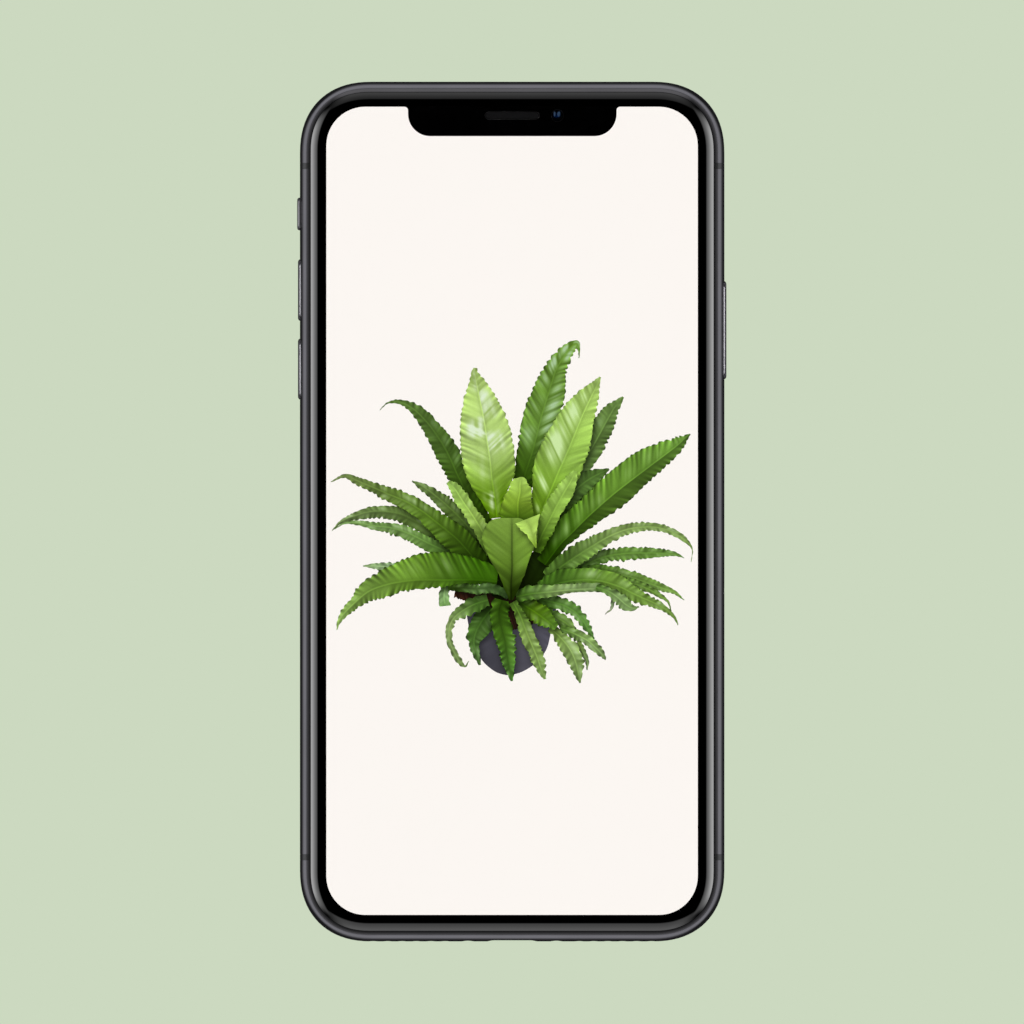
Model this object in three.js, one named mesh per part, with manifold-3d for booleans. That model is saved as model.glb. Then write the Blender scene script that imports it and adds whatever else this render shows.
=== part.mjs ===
// A smartphone with a notched display, lying on its back. Millimetres: +X to its right, +Y to its top,
// +Z out of the front glass. The origin is under the body's middle, at the height of the rear camera's face.
import * as THREE from "three";
import { mergeVertices } from "three/addons/utils/BufferGeometryUtils.js";
import Module from "manifold-3d";

const wasm = await Module();
wasm.setup();

// The body
const BODY_WIDTH = 70.9;
const BODY_LENGTH = 143.6;
const BODY_THICKNESS = 7.7;
const CAMERA_STAND_OUT = 1.1;
const CORNER_RADIUS = 10.72;
const CORNER_REACH = 1.12; // a corner starts this many radii from the end of the side
const CORNER_POWER = 2.285; // a superellipse, a little squarer than a circle
const CORNER_STEPS = 8;

// The side band: how wide it shows from the front, its wall, and the gap round what sits in it
const BAND_VIEW = 1.78;
const BAND_WALL = 2.4;
const BAND_STEPS = 12;
const FIT_GAP = 0.06;

// Both glasses: thickness, and how far in and how deep their edges curve
const GLASS_THICKNESS = 0.8;
const GLASS_CURVE_INSET = 4.3;
const GLASS_EDGE_DROP = 0.5;
const GLASS_EDGE_STEPS = 5;

// Heights of the layers, from the back to the front
const BACK_Z = CAMERA_STAND_OUT;
const BACK_GLASS_TOP_Z = BACK_Z + GLASS_THICKNESS;
const PLATE_TOP_Z = 2.5;
const BATTERY_Z = 2.75;
const CHARGE_BOARD_TOP_Z = 3.35;
const BOARD_Z = 3.6;
const BOARD_TOP_Z = 4.4;
const MIDDLE_Z = BACK_Z + BODY_THICKNESS / 2;
const BATTERY_TOP_Z = 6.65;
const BACKING_Z = 6.9;
const PANEL_Z = 7.2;
const PANEL_TOP_Z = 7.7;
const FRONT_Z = BACK_Z + BODY_THICKNESS;
const FRONT_GLASS_Z = FRONT_Z - GLASS_THICKNESS;
const SENSOR_TOP_Z = FRONT_GLASS_Z - 0.05;
const LAYER_GAP = 0.1;

// Display, its notch, and the earpiece slot
const PANEL_INSET = 3.6;
const BACKING_INSET = 3.8;
const GASKET_WIDTH = 0.44;
const NOTCH = { halfWidth: 17, y: 63.1 };
const EARPIECE = { y: 66.1, length: 9.1, width: 1.3, sink: 0.25 };

// Keys: side of the phone, middle along it, length; then what they share
const KEYS = {
  side_button: { side: 1, y: 30.3, length: 16.5 },
  volume_up_button: { side: -1, y: 37, length: 10.4 },
  volume_down_button: { side: -1, y: 23.8, length: 10.3 },
};
const KEY = { standOut: 0.33, width: 2.6, gap: 0.08, travel: 0.3, bevel: 0.2, overlap: 0.8 };
const FLANGE = { gap: 0.05, thickness: 0.6 };
const KEY_SWITCH = { thickness: 0.6, length: 4, width: 1.3 };
const RING = {
  y: 49.7,
  length: 5.46,
  lever: 1.6,
  standOut: 0.45,
  slot: 2.7,
  travel: 1,
  overlap: 0.6,
  flange: [-1.4, 1.3],
};
const RING_BASE = { thickness: 0.7, length: 6.4, z: [3.3, 6.6] };

const ANTENNA_LINE = { y: 57.7, width: 1 };
const TRAY = { y: -6.5, length: 15.6, width: 2.1, depth: 12.8, slab: [13.8, 1], rim: 0.8, pin: 0.4 };
const READER = { length: 17.4, z: [3.4, 6.4], slot: [14.2, 1.4], gap: 0.4 };

// Rear camera: middle of the ring, the ring and plate, the lenses and the flash
const CAMERA = { x: 23, y: 54, width: 12.4, length: 26, wall: 0.9, sink: 0.25, plate: 0.6 };
const LENS = { offset: 6.7, radius: 3.65, window: 0.5, barrel: 3.5, pupil: 1.8, pupilDepth: 0.6, edge: 0.05 };
const MODULE = { width: 11, length: 12.4 };
const FLASH = { radius: 1.7, lamp: 1.55 };

// Bottom end
const PORT = { width: 8.94, height: 3.16, wall: 0.3, back: -63.5, end: 0.8, gap: 0.05 };
const TONGUE = { halfWidth: 3.34, halfHeight: 0.35, sink: 1 };
const SCREW = { x: 7.4, head: 0.95, shank: 0.65, top: -71.55, shoulder: -70.65, end: -67.9, recess: 0.5 };
const SOUND_HOLES = { first: 11.2, pitch: 2.4, count: 6, radius: 0.75 };
const SOUND_MESH = { margin: 1, thickness: 0.25, halfWidth: 0.9 };

const COIL = { x: 0, y: -8, outer: 22, inner: 9, gap: 0.6 };
const FLEX = 0.18;

const halfWidth = BODY_WIDTH / 2;
const halfLength = BODY_LENGTH / 2;
const insideX = halfWidth - BAND_WALL;
const insideY = halfLength - BAND_WALL;
const flangeX = [insideX - FLANGE.gap - FLANGE.thickness, insideX - FLANGE.gap];
const switchEndX = flangeX[0] - KEY.travel - FLANGE.gap;
const switchX = [switchEndX - KEY_SWITCH.thickness, switchEndX];
const around = (middle, size) => [middle - size / 2, middle + size / 2];
const onSide = (side, [x0, x1]) => (side > 0 ? [x0, x1] : [-x1, -x0]);

// Finishes
const finish = (color, metalness, roughness) =>
  new THREE.MeshStandardMaterial({ color, metalness, roughness });
const finishes = {
  steel: finish(0x46454a, 1, 0.22),
  plastic: finish(0x3a3b3e, 0, 0.5),
  blackGlass: finish(0x050506, 0, 0.06),
  greyGlass: finish(0x26272b, 0, 0.08),
  display: finish(0xfbf6f0, 0, 0.4),
  plate: finish(0x9a9ca0, 1, 0.4),
  mesh: finish(0x1a1a1c, 0.6, 0.6),
  board: finish(0x16324a, 0, 0.5),
  foil: finish(0x2a2b2e, 0.2, 0.5),
  shield: finish(0xb9bbbd, 1, 0.35),
  copper: finish(0xb06a3a, 1, 0.4),
  flex: finish(0x3b2a18, 0, 0.55),
  moulded: finish(0x1c1d20, 0.3, 0.45),
  gilt: finish(0xc8b070, 1, 0.35),
};

// A solid for joining and cutting, from a closed geometry
function solid(geometry) {
  const bare = geometry.clone();
  bare.deleteAttribute("normal");
  bare.deleteAttribute("uv");
  const merged = mergeVertices(bare, 1e-4);
  return new wasm.Manifold(
    new wasm.Mesh({
      numProp: 3,
      vertProperties: merged.attributes.position.array,
      triVerts: new Uint32Array(merged.index.array),
    }),
  );
}

function geometryOf(manifold) {
  const { vertProperties, triVerts } = manifold.getMesh();
  const geometry = new THREE.BufferGeometry();
  geometry.setAttribute("position", new THREE.BufferAttribute(new Float32Array(vertProperties), 3));
  geometry.setIndex(new THREE.BufferAttribute(new Uint32Array(triVerts), 1));
  geometry.computeVertexNormals();
  return geometry;
}

const cut = (base, ...tools) =>
  geometryOf(tools.reduce((left, tool) => left.subtract(solid(tool)), solid(base)));
const join = (...pieces) => geometryOf(pieces.map(solid).reduce((all, piece) => all.add(piece)));
const common = (a, b) => geometryOf(solid(a).intersect(solid(b)));

// The body's outline drawn in by an inset: superellipse corners and straight sides, counter-clockwise
function outline(inset) {
  const reach = CORNER_REACH * (CORNER_RADIUS - inset);
  const centre = new THREE.Vector2(halfWidth - inset - reach, halfLength - inset - reach);
  const bent = (share) => reach * Math.max(share, 0) ** (2 / CORNER_POWER);
  const points = [];
  for (const [turn, flipX, flipY] of [
    [0, 1, 1],
    [1, -1, 1],
    [2, -1, -1],
    [3, 1, -1],
  ]) {
    for (let step = 0; step <= CORNER_STEPS; step++) {
      const along = turn % 2 ? CORNER_STEPS - step : step;
      const angle = (along / CORNER_STEPS) * (Math.PI / 2);
      const x = centre.x + bent(Math.cos(angle));
      const y = centre.y + bent(Math.sin(angle));
      points.push(new THREE.Vector2(flipX * x, flipY * y));
    }
  }
  return points;
}

// A closed skin over outlines of equal count, lowest first, with flat ends
function loft(levels) {
  const count = levels[0].points.length;
  const positions = levels.flatMap(({ points, z }) => points.flatMap(({ x, y }) => [x, y, z]));
  const index = [];
  for (let level = 0; level < levels.length - 1; level++) {
    for (let i = 0; i < count; i++) {
      const a = level * count + i;
      const b = level * count + ((i + 1) % count);
      index.push(a, b, b + count, a, b + count, a + count);
    }
  }
  const top = (levels.length - 1) * count;
  for (let i = 1; i < count - 1; i++) {
    index.push(0, i + 1, i, top, top + i, top + i + 1);
  }
  const geometry = new THREE.BufferGeometry();
  geometry.setAttribute("position", new THREE.Float32BufferAttribute(positions, 3));
  geometry.setIndex(index);
  geometry.computeVertexNormals();
  return geometry;
}

// A flat shape raised from one height to another
function slab(shape, [low, high]) {
  const settings = { depth: high - low, bevelEnabled: false, curveSegments: 6 };
  return new THREE.ExtrudeGeometry(shape, settings).translate(0, 0, low);
}

const insetSlab = (inset, heights) => slab(new THREE.Shape(outline(inset)), heights);
const polygon = (corners) => new THREE.Shape(corners.map(([x, y]) => new THREE.Vector2(x, y)));

function box([x0, x1], [y0, y1], [z0, z1]) {
  const made = new THREE.BoxGeometry(x1 - x0, y1 - y0, z1 - z0);
  return made.translate((x0 + x1) / 2, (y0 + y1) / 2, (z0 + z1) / 2);
}

// A round disc with its axis along Z
function disc(radius, [low, high], x = 0, y = 0, segments = 24) {
  const made = new THREE.CylinderGeometry(radius, radius, high - low, segments).rotateX(Math.PI / 2);
  return made.translate(x, y, (low + high) / 2);
}

// A round rod along Y
function rod(radius, x, z, [y0, y1], segments = 12) {
  const made = new THREE.CylinderGeometry(radius, radius, y1 - y0, segments);
  return made.translate(x, (y0 + y1) / 2, z);
}

// A rectangle with round corners about a middle
function roundedShape(width, height, radius, x = 0, y = 0) {
  const across = width / 2 - radius;
  const up = height / 2 - radius;
  const shape = new THREE.Shape();
  shape.moveTo(x + across, y - up - radius);
  shape.absarc(x + across, y - up, radius, -Math.PI / 2, 0);
  shape.absarc(x + across, y + up, radius, 0, Math.PI / 2);
  shape.absarc(x - across, y + up, radius, Math.PI / 2, Math.PI);
  shape.absarc(x - across, y - up, radius, Math.PI, Math.PI * 1.5);
  return shape;
}

// A bar with round corners along X: length along Y, width along Z, about y and z
function sideBar({ length, width, radius, bevel = 0 }, [x0, x1], y = 0, z = 0) {
  const made = new THREE.ExtrudeGeometry(roundedShape(length, width, radius), {
    depth: x1 - x0 - 2 * bevel,
    bevelEnabled: bevel > 0,
    bevelThickness: bevel,
    bevelSize: bevel,
    bevelOffset: -bevel,
    bevelSegments: 3,
    curveSegments: 5,
  });
  return made.translate(0, 0, bevel).rotateX(Math.PI / 2).rotateZ(Math.PI / 2).translate(x0, y, z);
}

// The same bar along Y: length along X
const endBar = (sizes, span, z) => sideBar(sizes, span, 0, z).rotateZ(Math.PI / 2);

// Groups of the scene; the rear camera's own origin is the middle of its ring
const phone = new THREE.Group();
const housing = new THREE.Group();
const screen = new THREE.Group();
const keys = new THREE.Group();
const rearCamera = new THREE.Group();
const bottomEnd = new THREE.Group();
const inside = new THREE.Group();
phone.add(housing, screen, keys, rearCamera, bottomEnd, inside);
rearCamera.position.set(CAMERA.x, CAMERA.y, 0);

function add(group, name, geometry, material) {
  const piece = new THREE.Mesh(geometry, material);
  piece.name = name;
  group.add(piece);
  return piece;
}

// Housing: the band is an arc from the front glass's edge round to the back glass's
function bandForm() {
  const rise = BODY_THICKNESS / 2 - GLASS_EDGE_DROP;
  const radius = (rise * rise + BAND_VIEW * BAND_VIEW) / (2 * BAND_VIEW);
  const reach = Math.asin(rise / radius);
  const levels = [];
  for (let step = 0; step <= BAND_STEPS; step++) {
    const angle = reach * (2 * (step / BAND_STEPS) - 1);
    const points = outline(radius * (1 - Math.cos(angle)));
    levels.push({ points, z: MIDDLE_Z + radius * Math.sin(angle) });
  }
  return loft(levels);
}
const band = bandForm();
const glassSeats = [
  insetSlab(BAND_VIEW, [FRONT_GLASS_Z, FRONT_Z + 1]),
  insetSlab(BAND_VIEW, [0, BACK_GLASS_TOP_Z]),
];

const throughSide = (side) => onSide(side, [insideX - 1, halfWidth + 1]);
const throughBottom = [-halfLength - 1, 1 - insideY];
const grown = ({ length, width, radius }, gap) => ({
  length: length + 2 * gap,
  width: width + 2 * gap,
  radius,
});

function keyHole({ side, y, length }) {
  const hole = grown({ length, width: KEY.width, radius: KEY.width / 2 }, KEY.gap);
  return sideBar(hole, throughSide(side), y, MIDDLE_Z);
}
function ringSlot() {
  const hole = { length: RING.length + 2 * KEY.gap, width: RING.slot, radius: RING.lever / 2 };
  return sideBar(hole, throughSide(-1), RING.y, MIDDLE_Z);
}
function trayHole() {
  const hole = grown({ length: TRAY.length, width: TRAY.width, radius: TRAY.width / 2 }, KEY.gap);
  return sideBar(hole, throughSide(1), TRAY.y, MIDDLE_Z);
}

const antennaCuts = [1, -1].flatMap((side) =>
  [1, -1].map((end) => ({
    name: `antenna_line_${side > 0 ? "right" : "left"}_${end > 0 ? "upper" : "lower"}`,
    cutter: box(
      onSide(side, [halfWidth - BAND_VIEW, halfWidth + 1]),
      around(end * ANTENNA_LINE.y, ANTENNA_LINE.width),
      [0, FRONT_Z + 1],
    ),
  })),
);

const soundHoleXs = Array.from(
  { length: SOUND_HOLES.count },
  (_, hole) => SOUND_HOLES.first + hole * SOUND_HOLES.pitch,
);
function bottomHoles() {
  const port = { length: PORT.width, width: PORT.height, radius: PORT.height / 2 };
  const seat = [throughBottom[0], SCREW.shoulder];
  const holes = [endBar(grown(port, PORT.gap), throughBottom, MIDDLE_Z)];
  for (const side of [-1, 1]) {
    const x = side * SCREW.x;
    holes.push(rod(SCREW.shank + KEY.gap, x, MIDDLE_Z, throughBottom));
    holes.push(rod(SCREW.head + KEY.gap, x, MIDDLE_Z, seat));
    for (const soundX of soundHoleXs) {
      holes.push(rod(SOUND_HOLES.radius, side * soundX, MIDDLE_Z, throughBottom, 10));
    }
  }
  return holes;
}

add(
  housing,
  "side_band",
  cut(
    band,
    insetSlab(BAND_WALL, [BACK_GLASS_TOP_Z - 1, FRONT_GLASS_Z + 1]),
    ...glassSeats,
    ...Object.values(KEYS).map(keyHole),
    ringSlot(),
    trayHole(),
    ...bottomHoles(),
    ...antennaCuts.map(({ cutter }) => cutter),
  ),
  finishes.steel,
);
for (const { name, cutter } of antennaCuts) {
  add(housing, name, cut(common(band, cutter), ...glassSeats), finishes.plastic);
}

// A glass whose edge curves down by a parabola
function glassPlate() {
  const edge = BAND_VIEW + FIT_GAP;
  const levels = [{ points: outline(edge), z: 0 }];
  for (let step = 0; step <= GLASS_EDGE_STEPS; step++) {
    const left = 1 - step / GLASS_EDGE_STEPS;
    const inset = GLASS_CURVE_INSET - left * (GLASS_CURVE_INSET - edge);
    levels.push({ points: outline(inset), z: GLASS_THICKNESS - GLASS_EDGE_DROP * left ** 2 });
  }
  return loft(levels);
}
const earpieceShape = (grow) => {
  const width = EARPIECE.width + grow;
  return roundedShape(EARPIECE.length + grow, width, width / 2, 0, EARPIECE.y);
};
const cameraShape = (grow, x = 0, y = 0) => {
  const width = CAMERA.width + grow;
  return roundedShape(width, CAMERA.length + grow, width / 2, x, y);
};
const frontGlass = glassPlate().translate(0, 0, FRONT_GLASS_Z);
const backGlass = glassPlate().rotateY(Math.PI).translate(0, 0, BACK_GLASS_TOP_Z);
const throughAll = [-1, FRONT_Z + 1];
add(housing, "front_glass", cut(frontGlass, slab(earpieceShape(0), throughAll)), finishes.blackGlass);
const glassHole = slab(cameraShape(2 * KEY.gap, CAMERA.x, CAMERA.y), throughAll);
add(housing, "back_glass", cut(backGlass, glassHole), finishes.greyGlass);

// The mid plate is open over the charging coil and the rear camera
const coilHole = disc(COIL.outer + COIL.gap, throughAll, COIL.x, COIL.y, 32);
const plateHole = slab(cameraShape(4 * KEY.gap, CAMERA.x, CAMERA.y), throughAll);
const midPlate = insetSlab(BAND_WALL + FIT_GAP, [BACK_GLASS_TOP_Z, PLATE_TOP_Z]);
add(housing, "mid_plate", cut(midPlate, coilHole, plateHole), finishes.plate);

// Screen: the gasket under the glass's rim, the panel and its backing with the notch, the earpiece's mesh
const gasketInset = BAND_WALL + FIT_GAP;
const gasket = insetSlab(gasketInset, [BACKING_Z, FRONT_GLASS_Z]);
const gasketHole = insetSlab(gasketInset + GASKET_WIDTH, throughAll);
add(screen, "display_gasket", cut(gasket, gasketHole), finishes.plastic);
const notch = box([-NOTCH.halfWidth, NOTCH.halfWidth], [NOTCH.y, halfLength], throughAll);
add(screen, "display_panel", cut(insetSlab(PANEL_INSET, [PANEL_Z, PANEL_TOP_Z]), notch), finishes.display);
add(screen, "display_backing", cut(insetSlab(BACKING_INSET, [BACKING_Z, PANEL_Z]), notch), finishes.plate);
const meshHeights = [FRONT_GLASS_Z, FRONT_Z - EARPIECE.sink];
add(screen, "earpiece_mesh", slab(earpieceShape(-LAYER_GAP), meshHeights), finishes.mesh);

// Keys: a cap through the band and a wider flange inside it, drawn for the right and turned for the left
function place(piece, side, y, z) {
  piece.position.set(0, y, z);
  piece.rotation.z = side > 0 ? 0 : Math.PI;
}
function keyForm({ length, width, standOut, overlap, flange }) {
  const cap = { length, width, radius: width / 2 - KEY.gap, bevel: KEY.bevel };
  return join(
    sideBar(cap, [flangeX[1] - FLANGE.thickness / 2, halfWidth + standOut]),
    box(flangeX, around(0, length + 2 * overlap), flange),
  );
}
for (const [name, { side, y, length }] of Object.entries(KEYS)) {
  const flange = around(0, KEY.width + KEY.width / 2);
  const form = keyForm({ ...KEY, length, flange });
  place(add(keys, name, form, finishes.steel), side, y, MIDDLE_Z);
  const switchForm = box(switchX, around(0, KEY_SWITCH.length), around(0, KEY_SWITCH.width));
  const switchName = name.replace("volume_", "").replace("button", "switch");
  const fullName = side > 0 ? "side_button_switch" : `volume_${switchName}`;
  place(add(keys, fullName, switchForm, finishes.plate), side, y, MIDDLE_Z);
}

// The ring switch's lever is shown forward in its slot
const leverForm = keyForm({ ...RING, width: RING.lever });
place(add(keys, "ring_switch", leverForm, finishes.steel), -1, RING.y, MIDDLE_Z + RING.travel / 2);
const baseX = onSide(-1, [switchX[0], switchX[0] + RING_BASE.thickness]);
const leverBase = box(baseX, around(RING.y, RING_BASE.length), RING_BASE.z);
add(keys, "ring_switch_base", leverBase, finishes.moulded);

// Card tray: a face flush with the band, a slab with a pocket for the card, and a pin hole
const trayEndX = insideX - TRAY.depth;
function cardTray() {
  const [slabWidth, thickness] = TRAY.slab;
  const faceSizes = { length: TRAY.length, width: TRAY.width, radius: TRAY.width / 2 - KEY.gap };
  const face = common(band, sideBar(faceSizes, [insideX, halfWidth + 1], TRAY.y, MIDDLE_Z));
  const innerX = trayEndX + FIT_GAP;
  const slabX = [innerX, insideX + TRAY.rim / 2];
  const slabForm = box(slabX, around(TRAY.y, slabWidth), around(MIDDLE_Z, thickness));
  const pocketX = [innerX + TRAY.rim, insideX - 2 * TRAY.rim];
  const pocketFloor = MIDDLE_Z - thickness / 5;
  const pocket = box(pocketX, around(TRAY.y, slabWidth - 2 * TRAY.rim), [pocketFloor, FRONT_Z]);
  const pin = new THREE.CylinderGeometry(TRAY.pin, TRAY.pin, BAND_WALL + 1, 10).rotateZ(Math.PI / 2);
  pin.translate(halfWidth, TRAY.y - TRAY.length / 2 + 3 * TRAY.pin, MIDDLE_Z);
  return cut(join(face, slabForm), pocket, pin);
}
add(housing, "sim_tray", cardTray(), finishes.steel);

function cardReader() {
  const [slotWidth, slotHeight] = READER.slot;
  const shell = box([trayEndX - TRAY.rim, switchX[0] - READER.gap], around(TRAY.y, READER.length), READER.z);
  return cut(shell, box([trayEndX, insideX], around(TRAY.y, slotWidth), around(MIDDLE_Z, slotHeight)));
}
add(inside, "sim_reader", cardReader(), finishes.shield);

// Rear camera, about the middle of its ring
const plateHeights = [CAMERA.sink, CAMERA.sink + CAMERA.plate];
const windowHeights = [CAMERA.sink, CAMERA.sink + LENS.window];
const moduleZ = plateHeights[1] + LAYER_GAP;
const lensYs = { upper: LENS.offset, lower: -LENS.offset };
add(
  rearCamera,
  "camera_ring",
  cut(slab(cameraShape(0), [0, PLATE_TOP_Z - LAYER_GAP]), slab(cameraShape(-2 * CAMERA.wall), throughAll)),
  finishes.steel,
);
add(
  rearCamera,
  "camera_plate",
  cut(
    slab(cameraShape(-2 * CAMERA.wall - LAYER_GAP), plateHeights),
    ...Object.values(lensYs).map((y) => disc(LENS.radius + LENS.edge, throughAll, 0, y, 28)),
    disc(FLASH.radius + LENS.edge, throughAll, 0, 0, 16),
  ),
  finishes.blackGlass,
);
for (const [end, y] of Object.entries(lensYs)) {
  add(rearCamera, `lens_window_${end}`, disc(LENS.radius, windowHeights, 0, y, 28), finishes.blackGlass);
  const housed = [PLATE_TOP_Z + LAYER_GAP, BATTERY_TOP_Z];
  const form = join(
    box(around(0, MODULE.width), around(y, MODULE.length), housed),
    disc(LENS.barrel, [moduleZ, PLATE_TOP_Z + 2 * LAYER_GAP], 0, y),
  );
  const pupil = disc(LENS.pupil, [0, moduleZ + LENS.pupilDepth], 0, y, 20);
  add(rearCamera, `rear_camera_${end}`, cut(form, pupil), finishes.moulded);
}
add(rearCamera, "flash_window", disc(FLASH.radius, windowHeights, 0, 0, 16), finishes.display);
const lampSpan = [-FLASH.lamp, FLASH.lamp];
add(rearCamera, "flash_lamp", box(lampSpan, lampSpan, [moduleZ, PLATE_TOP_Z]), finishes.gilt);

// Bottom end: port, screws and sound meshes. The port's mouth is flush with the band's curve
const portForm = { length: PORT.width, width: PORT.height, radius: PORT.height / 2 - 0.01 };
const portBack = PORT.back - PORT.end;
add(
  bottomEnd,
  "port_shell",
  cut(
    common(band, endBar(portForm, [throughBottom[0], PORT.back], MIDDLE_Z)),
    endBar(
      { ...grown(portForm, -PORT.wall), radius: portForm.radius - PORT.wall },
      [throughBottom[0], portBack],
      MIDDLE_Z,
    ),
  ),
  finishes.shield,
);
const tongueX = [-TONGUE.halfWidth, TONGUE.halfWidth];
const tongueZ = around(MIDDLE_Z, 2 * TONGUE.halfHeight);
const tongueY = [TONGUE.sink - halfLength, portBack];
add(bottomEnd, "port_tongue", box(tongueX, tongueY, tongueZ), finishes.moulded);
for (const [side, name] of [
  [-1, "left"],
  [1, "right"],
]) {
  const meshX = onSide(side, [soundHoleXs[0] - SOUND_MESH.margin, soundHoleXs.at(-1) + SOUND_MESH.margin]);
  const meshY = [FIT_GAP - insideY, FIT_GAP - insideY + SOUND_MESH.thickness];
  const meshZ = around(MIDDLE_Z, 2 * SOUND_MESH.halfWidth);
  add(bottomEnd, `sound_mesh_${name}`, box(meshX, meshY, meshZ), finishes.mesh);
  const x = side * SCREW.x;
  const screw = join(
    rod(SCREW.head, x, MIDDLE_Z, [SCREW.top, SCREW.shoulder - FIT_GAP / 2]),
    rod(SCREW.shank, x, MIDDLE_Z, [SCREW.top + FIT_GAP, SCREW.end]),
  );
  const recess = rod(SCREW.recess, x, MIDDLE_Z, [SCREW.top - 1, SCREW.top + SCREW.recess], 6);
  add(bottomEnd, `bottom_screw_${name}`, cut(screw, recess), finishes.steel);
}

// Inner pieces that are plain blocks: their spans along X, Y and Z
const BLOCKS = {
  earpiece_speaker: { x: [-4.8, 4.8], y: [63.3, 68.9], z: [4.9, FRONT_GLASS_Z], material: finishes.moulded },
  light_sensor: { x: [-8.6, -5.2], y: [64.5, 67.7], z: [6.4, SENSOR_TOP_Z], material: finishes.moulded },
  infrared_camera: { x: [-16.2, -11], y: [63.5, 68.7], z: [4.9, SENSOR_TOP_Z], material: finishes.moulded },
  dot_projector: { x: [11, 16.2], y: [63.5, 68.7], z: [4.9, SENSOR_TOP_Z], material: finishes.moulded },
  microphone: { x: [-22, -18.6], y: [-58.6, -55.8], z: [CHARGE_BOARD_TOP_Z, 4.5], material: finishes.gilt },
};
for (const [name, { x, y, z, material }] of Object.entries(BLOCKS)) {
  add(inside, name, box(x, y, z), material);
}

const FRONT_CAMERA = { x: 7.56, y: 66.1, side: 4.7, z: 4.9, shoulder: 7, barrel: 2.1 };
function frontCamera() {
  const { x, y, side, z, shoulder, barrel } = FRONT_CAMERA;
  const body = box(around(x, side), around(y, side), [z, shoulder]);
  return join(body, disc(barrel, [shoulder - LAYER_GAP, SENSOR_TOP_Z], x, y));
}
add(inside, "front_camera", frontCamera(), finishes.moulded);

const coilForm = disc(COIL.outer, [BACK_GLASS_TOP_Z, PLATE_TOP_Z - LAYER_GAP], COIL.x, COIL.y, 32);
const coilMiddle = disc(COIL.inner, throughAll, COIL.x, COIL.y, 32);
add(inside, "charging_coil", cut(coilForm, coilMiddle), finishes.copper);

// Inner pieces drawn corner by corner
const REACH_X = 31.1; // how far the battery and the board go to the sides
const SHIELD_TOP_Z = 6.3;
const LOUDSPEAKER = { width: 20.5, length: 17.2, corner: 1.5, x: 18.75, y: -58.7, top: 6.75 };
const MOTOR = { width: 20.5, length: 6.6, corner: 1.2, x: -18.75, y: -63.7, top: 6.2 };
const batteryOutline = [
  [-REACH_X, -48.5],
  [REACH_X, -48.5],
  [REACH_X, -22],
  [6.4, -22],
  [6.4, 33.5],
  [-REACH_X, 33.5],
];
const boardOutline = [
  [-REACH_X, 35.5],
  [8.2, 35.5],
  [8.2, -20],
  [18.8, -20],
  [18.8, 5],
  [REACH_X, 5],
  [REACH_X, 39],
  [16, 39],
  [16, 61],
  [-REACH_X, 61],
];
const shieldOutline = [
  [-29.8, 36.5],
  [9.4, 36.5],
  [9.4, 6],
  [29.8, 6],
  [29.8, 38],
  [14.8, 38],
  [14.8, 60],
  [-29.8, 60],
];
const chargingOutline = [
  [-30.6, -59.2],
  [-5.5, -59.2],
  [-5.5, -66],
  [5.5, -66],
  [5.5, -59.2],
  [7.6, -59.2],
  [7.6, -50.2],
  [-30.6, -50.2],
];
const onPlate = PLATE_TOP_Z + LAYER_GAP / 2;
add(inside, "battery", slab(polygon(batteryOutline), [BATTERY_Z, BATTERY_TOP_Z]), finishes.foil);
add(inside, "main_board", slab(polygon(boardOutline), [BOARD_Z, BOARD_TOP_Z]), finishes.board);
add(inside, "front_shield", slab(polygon(shieldOutline), [BOARD_TOP_Z, SHIELD_TOP_Z]), finishes.shield);
add(inside, "rear_shield", slab(polygon(shieldOutline), [onPlate, BOARD_Z]), finishes.shield);
const chargingForm = slab(polygon(chargingOutline), [onPlate, CHARGE_BOARD_TOP_Z]);
add(inside, "charging_board", chargingForm, finishes.board);
const roundedBlock = ({ width, length, corner, x, y, top }) =>
  slab(roundedShape(width, length, corner, x, y), [onPlate, top]);
add(inside, "loudspeaker", roundedBlock(LOUDSPEAKER), finishes.moulded);
add(inside, "vibration_motor", roundedBlock(MOTOR), finishes.shield);

// Flexible circuits: a thin strip's side view extruded across its width, and the heights it runs at
const underBacking = BACKING_Z - 0.3;
const overPlate = onPlate - 0.01;
const underBoard = BOARD_Z - FLEX - 0.02;
function strip(path) {
  const upper = path.map(([a, z]) => [a, z + FLEX]).reverse();
  return polygon([...path, ...upper]);
}
const stripForm = (path, width) =>
  new THREE.ExtrudeGeometry(strip(path), { depth: width, bevelEnabled: false }).rotateX(Math.PI / 2);
const alongY = (path, [x0, x1]) => stripForm(path, x1 - x0).rotateZ(Math.PI / 2).translate(x0, 0, 0);
const alongX = (path, [y0, y1]) => stripForm(path, y1 - y0).translate(0, y1, 0);
const displayFlex = [
  [-10, BOARD_TOP_Z],
  [1.5, BOARD_TOP_Z],
  [3.5, underBacking],
  [22, underBacking],
];
const batteryFlex = [
  [1, BATTERY_TOP_Z],
  [7, BATTERY_TOP_Z],
  [8.6, BOARD_TOP_Z],
  [12, BOARD_TOP_Z],
];
const chargingFlex = [
  [-54, CHARGE_BOARD_TOP_Z],
  [-49.9, CHARGE_BOARD_TOP_Z],
  [-49.2, overPlate],
  [33.8, overPlate],
  [34.8, underBoard],
  [36.3, underBoard],
];
add(inside, "display_flex", alongY(displayFlex, [10.2, 17]), finishes.flex);
add(inside, "battery_flex", alongX(batteryFlex, [-17.5, -12.5]), finishes.flex);
add(inside, "charging_flex", alongY(chargingFlex, [-3, 3]), finishes.flex);
const keyFlexX = [switchX[0] - FLEX, switchX[0]];
const keyFlex = (side, along) => box(onSide(side, keyFlexX), along, around(MIDDLE_Z, 2));
add(inside, "left_key_flex", keyFlex(-1, [18, 52.8]), finishes.flex);
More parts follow.
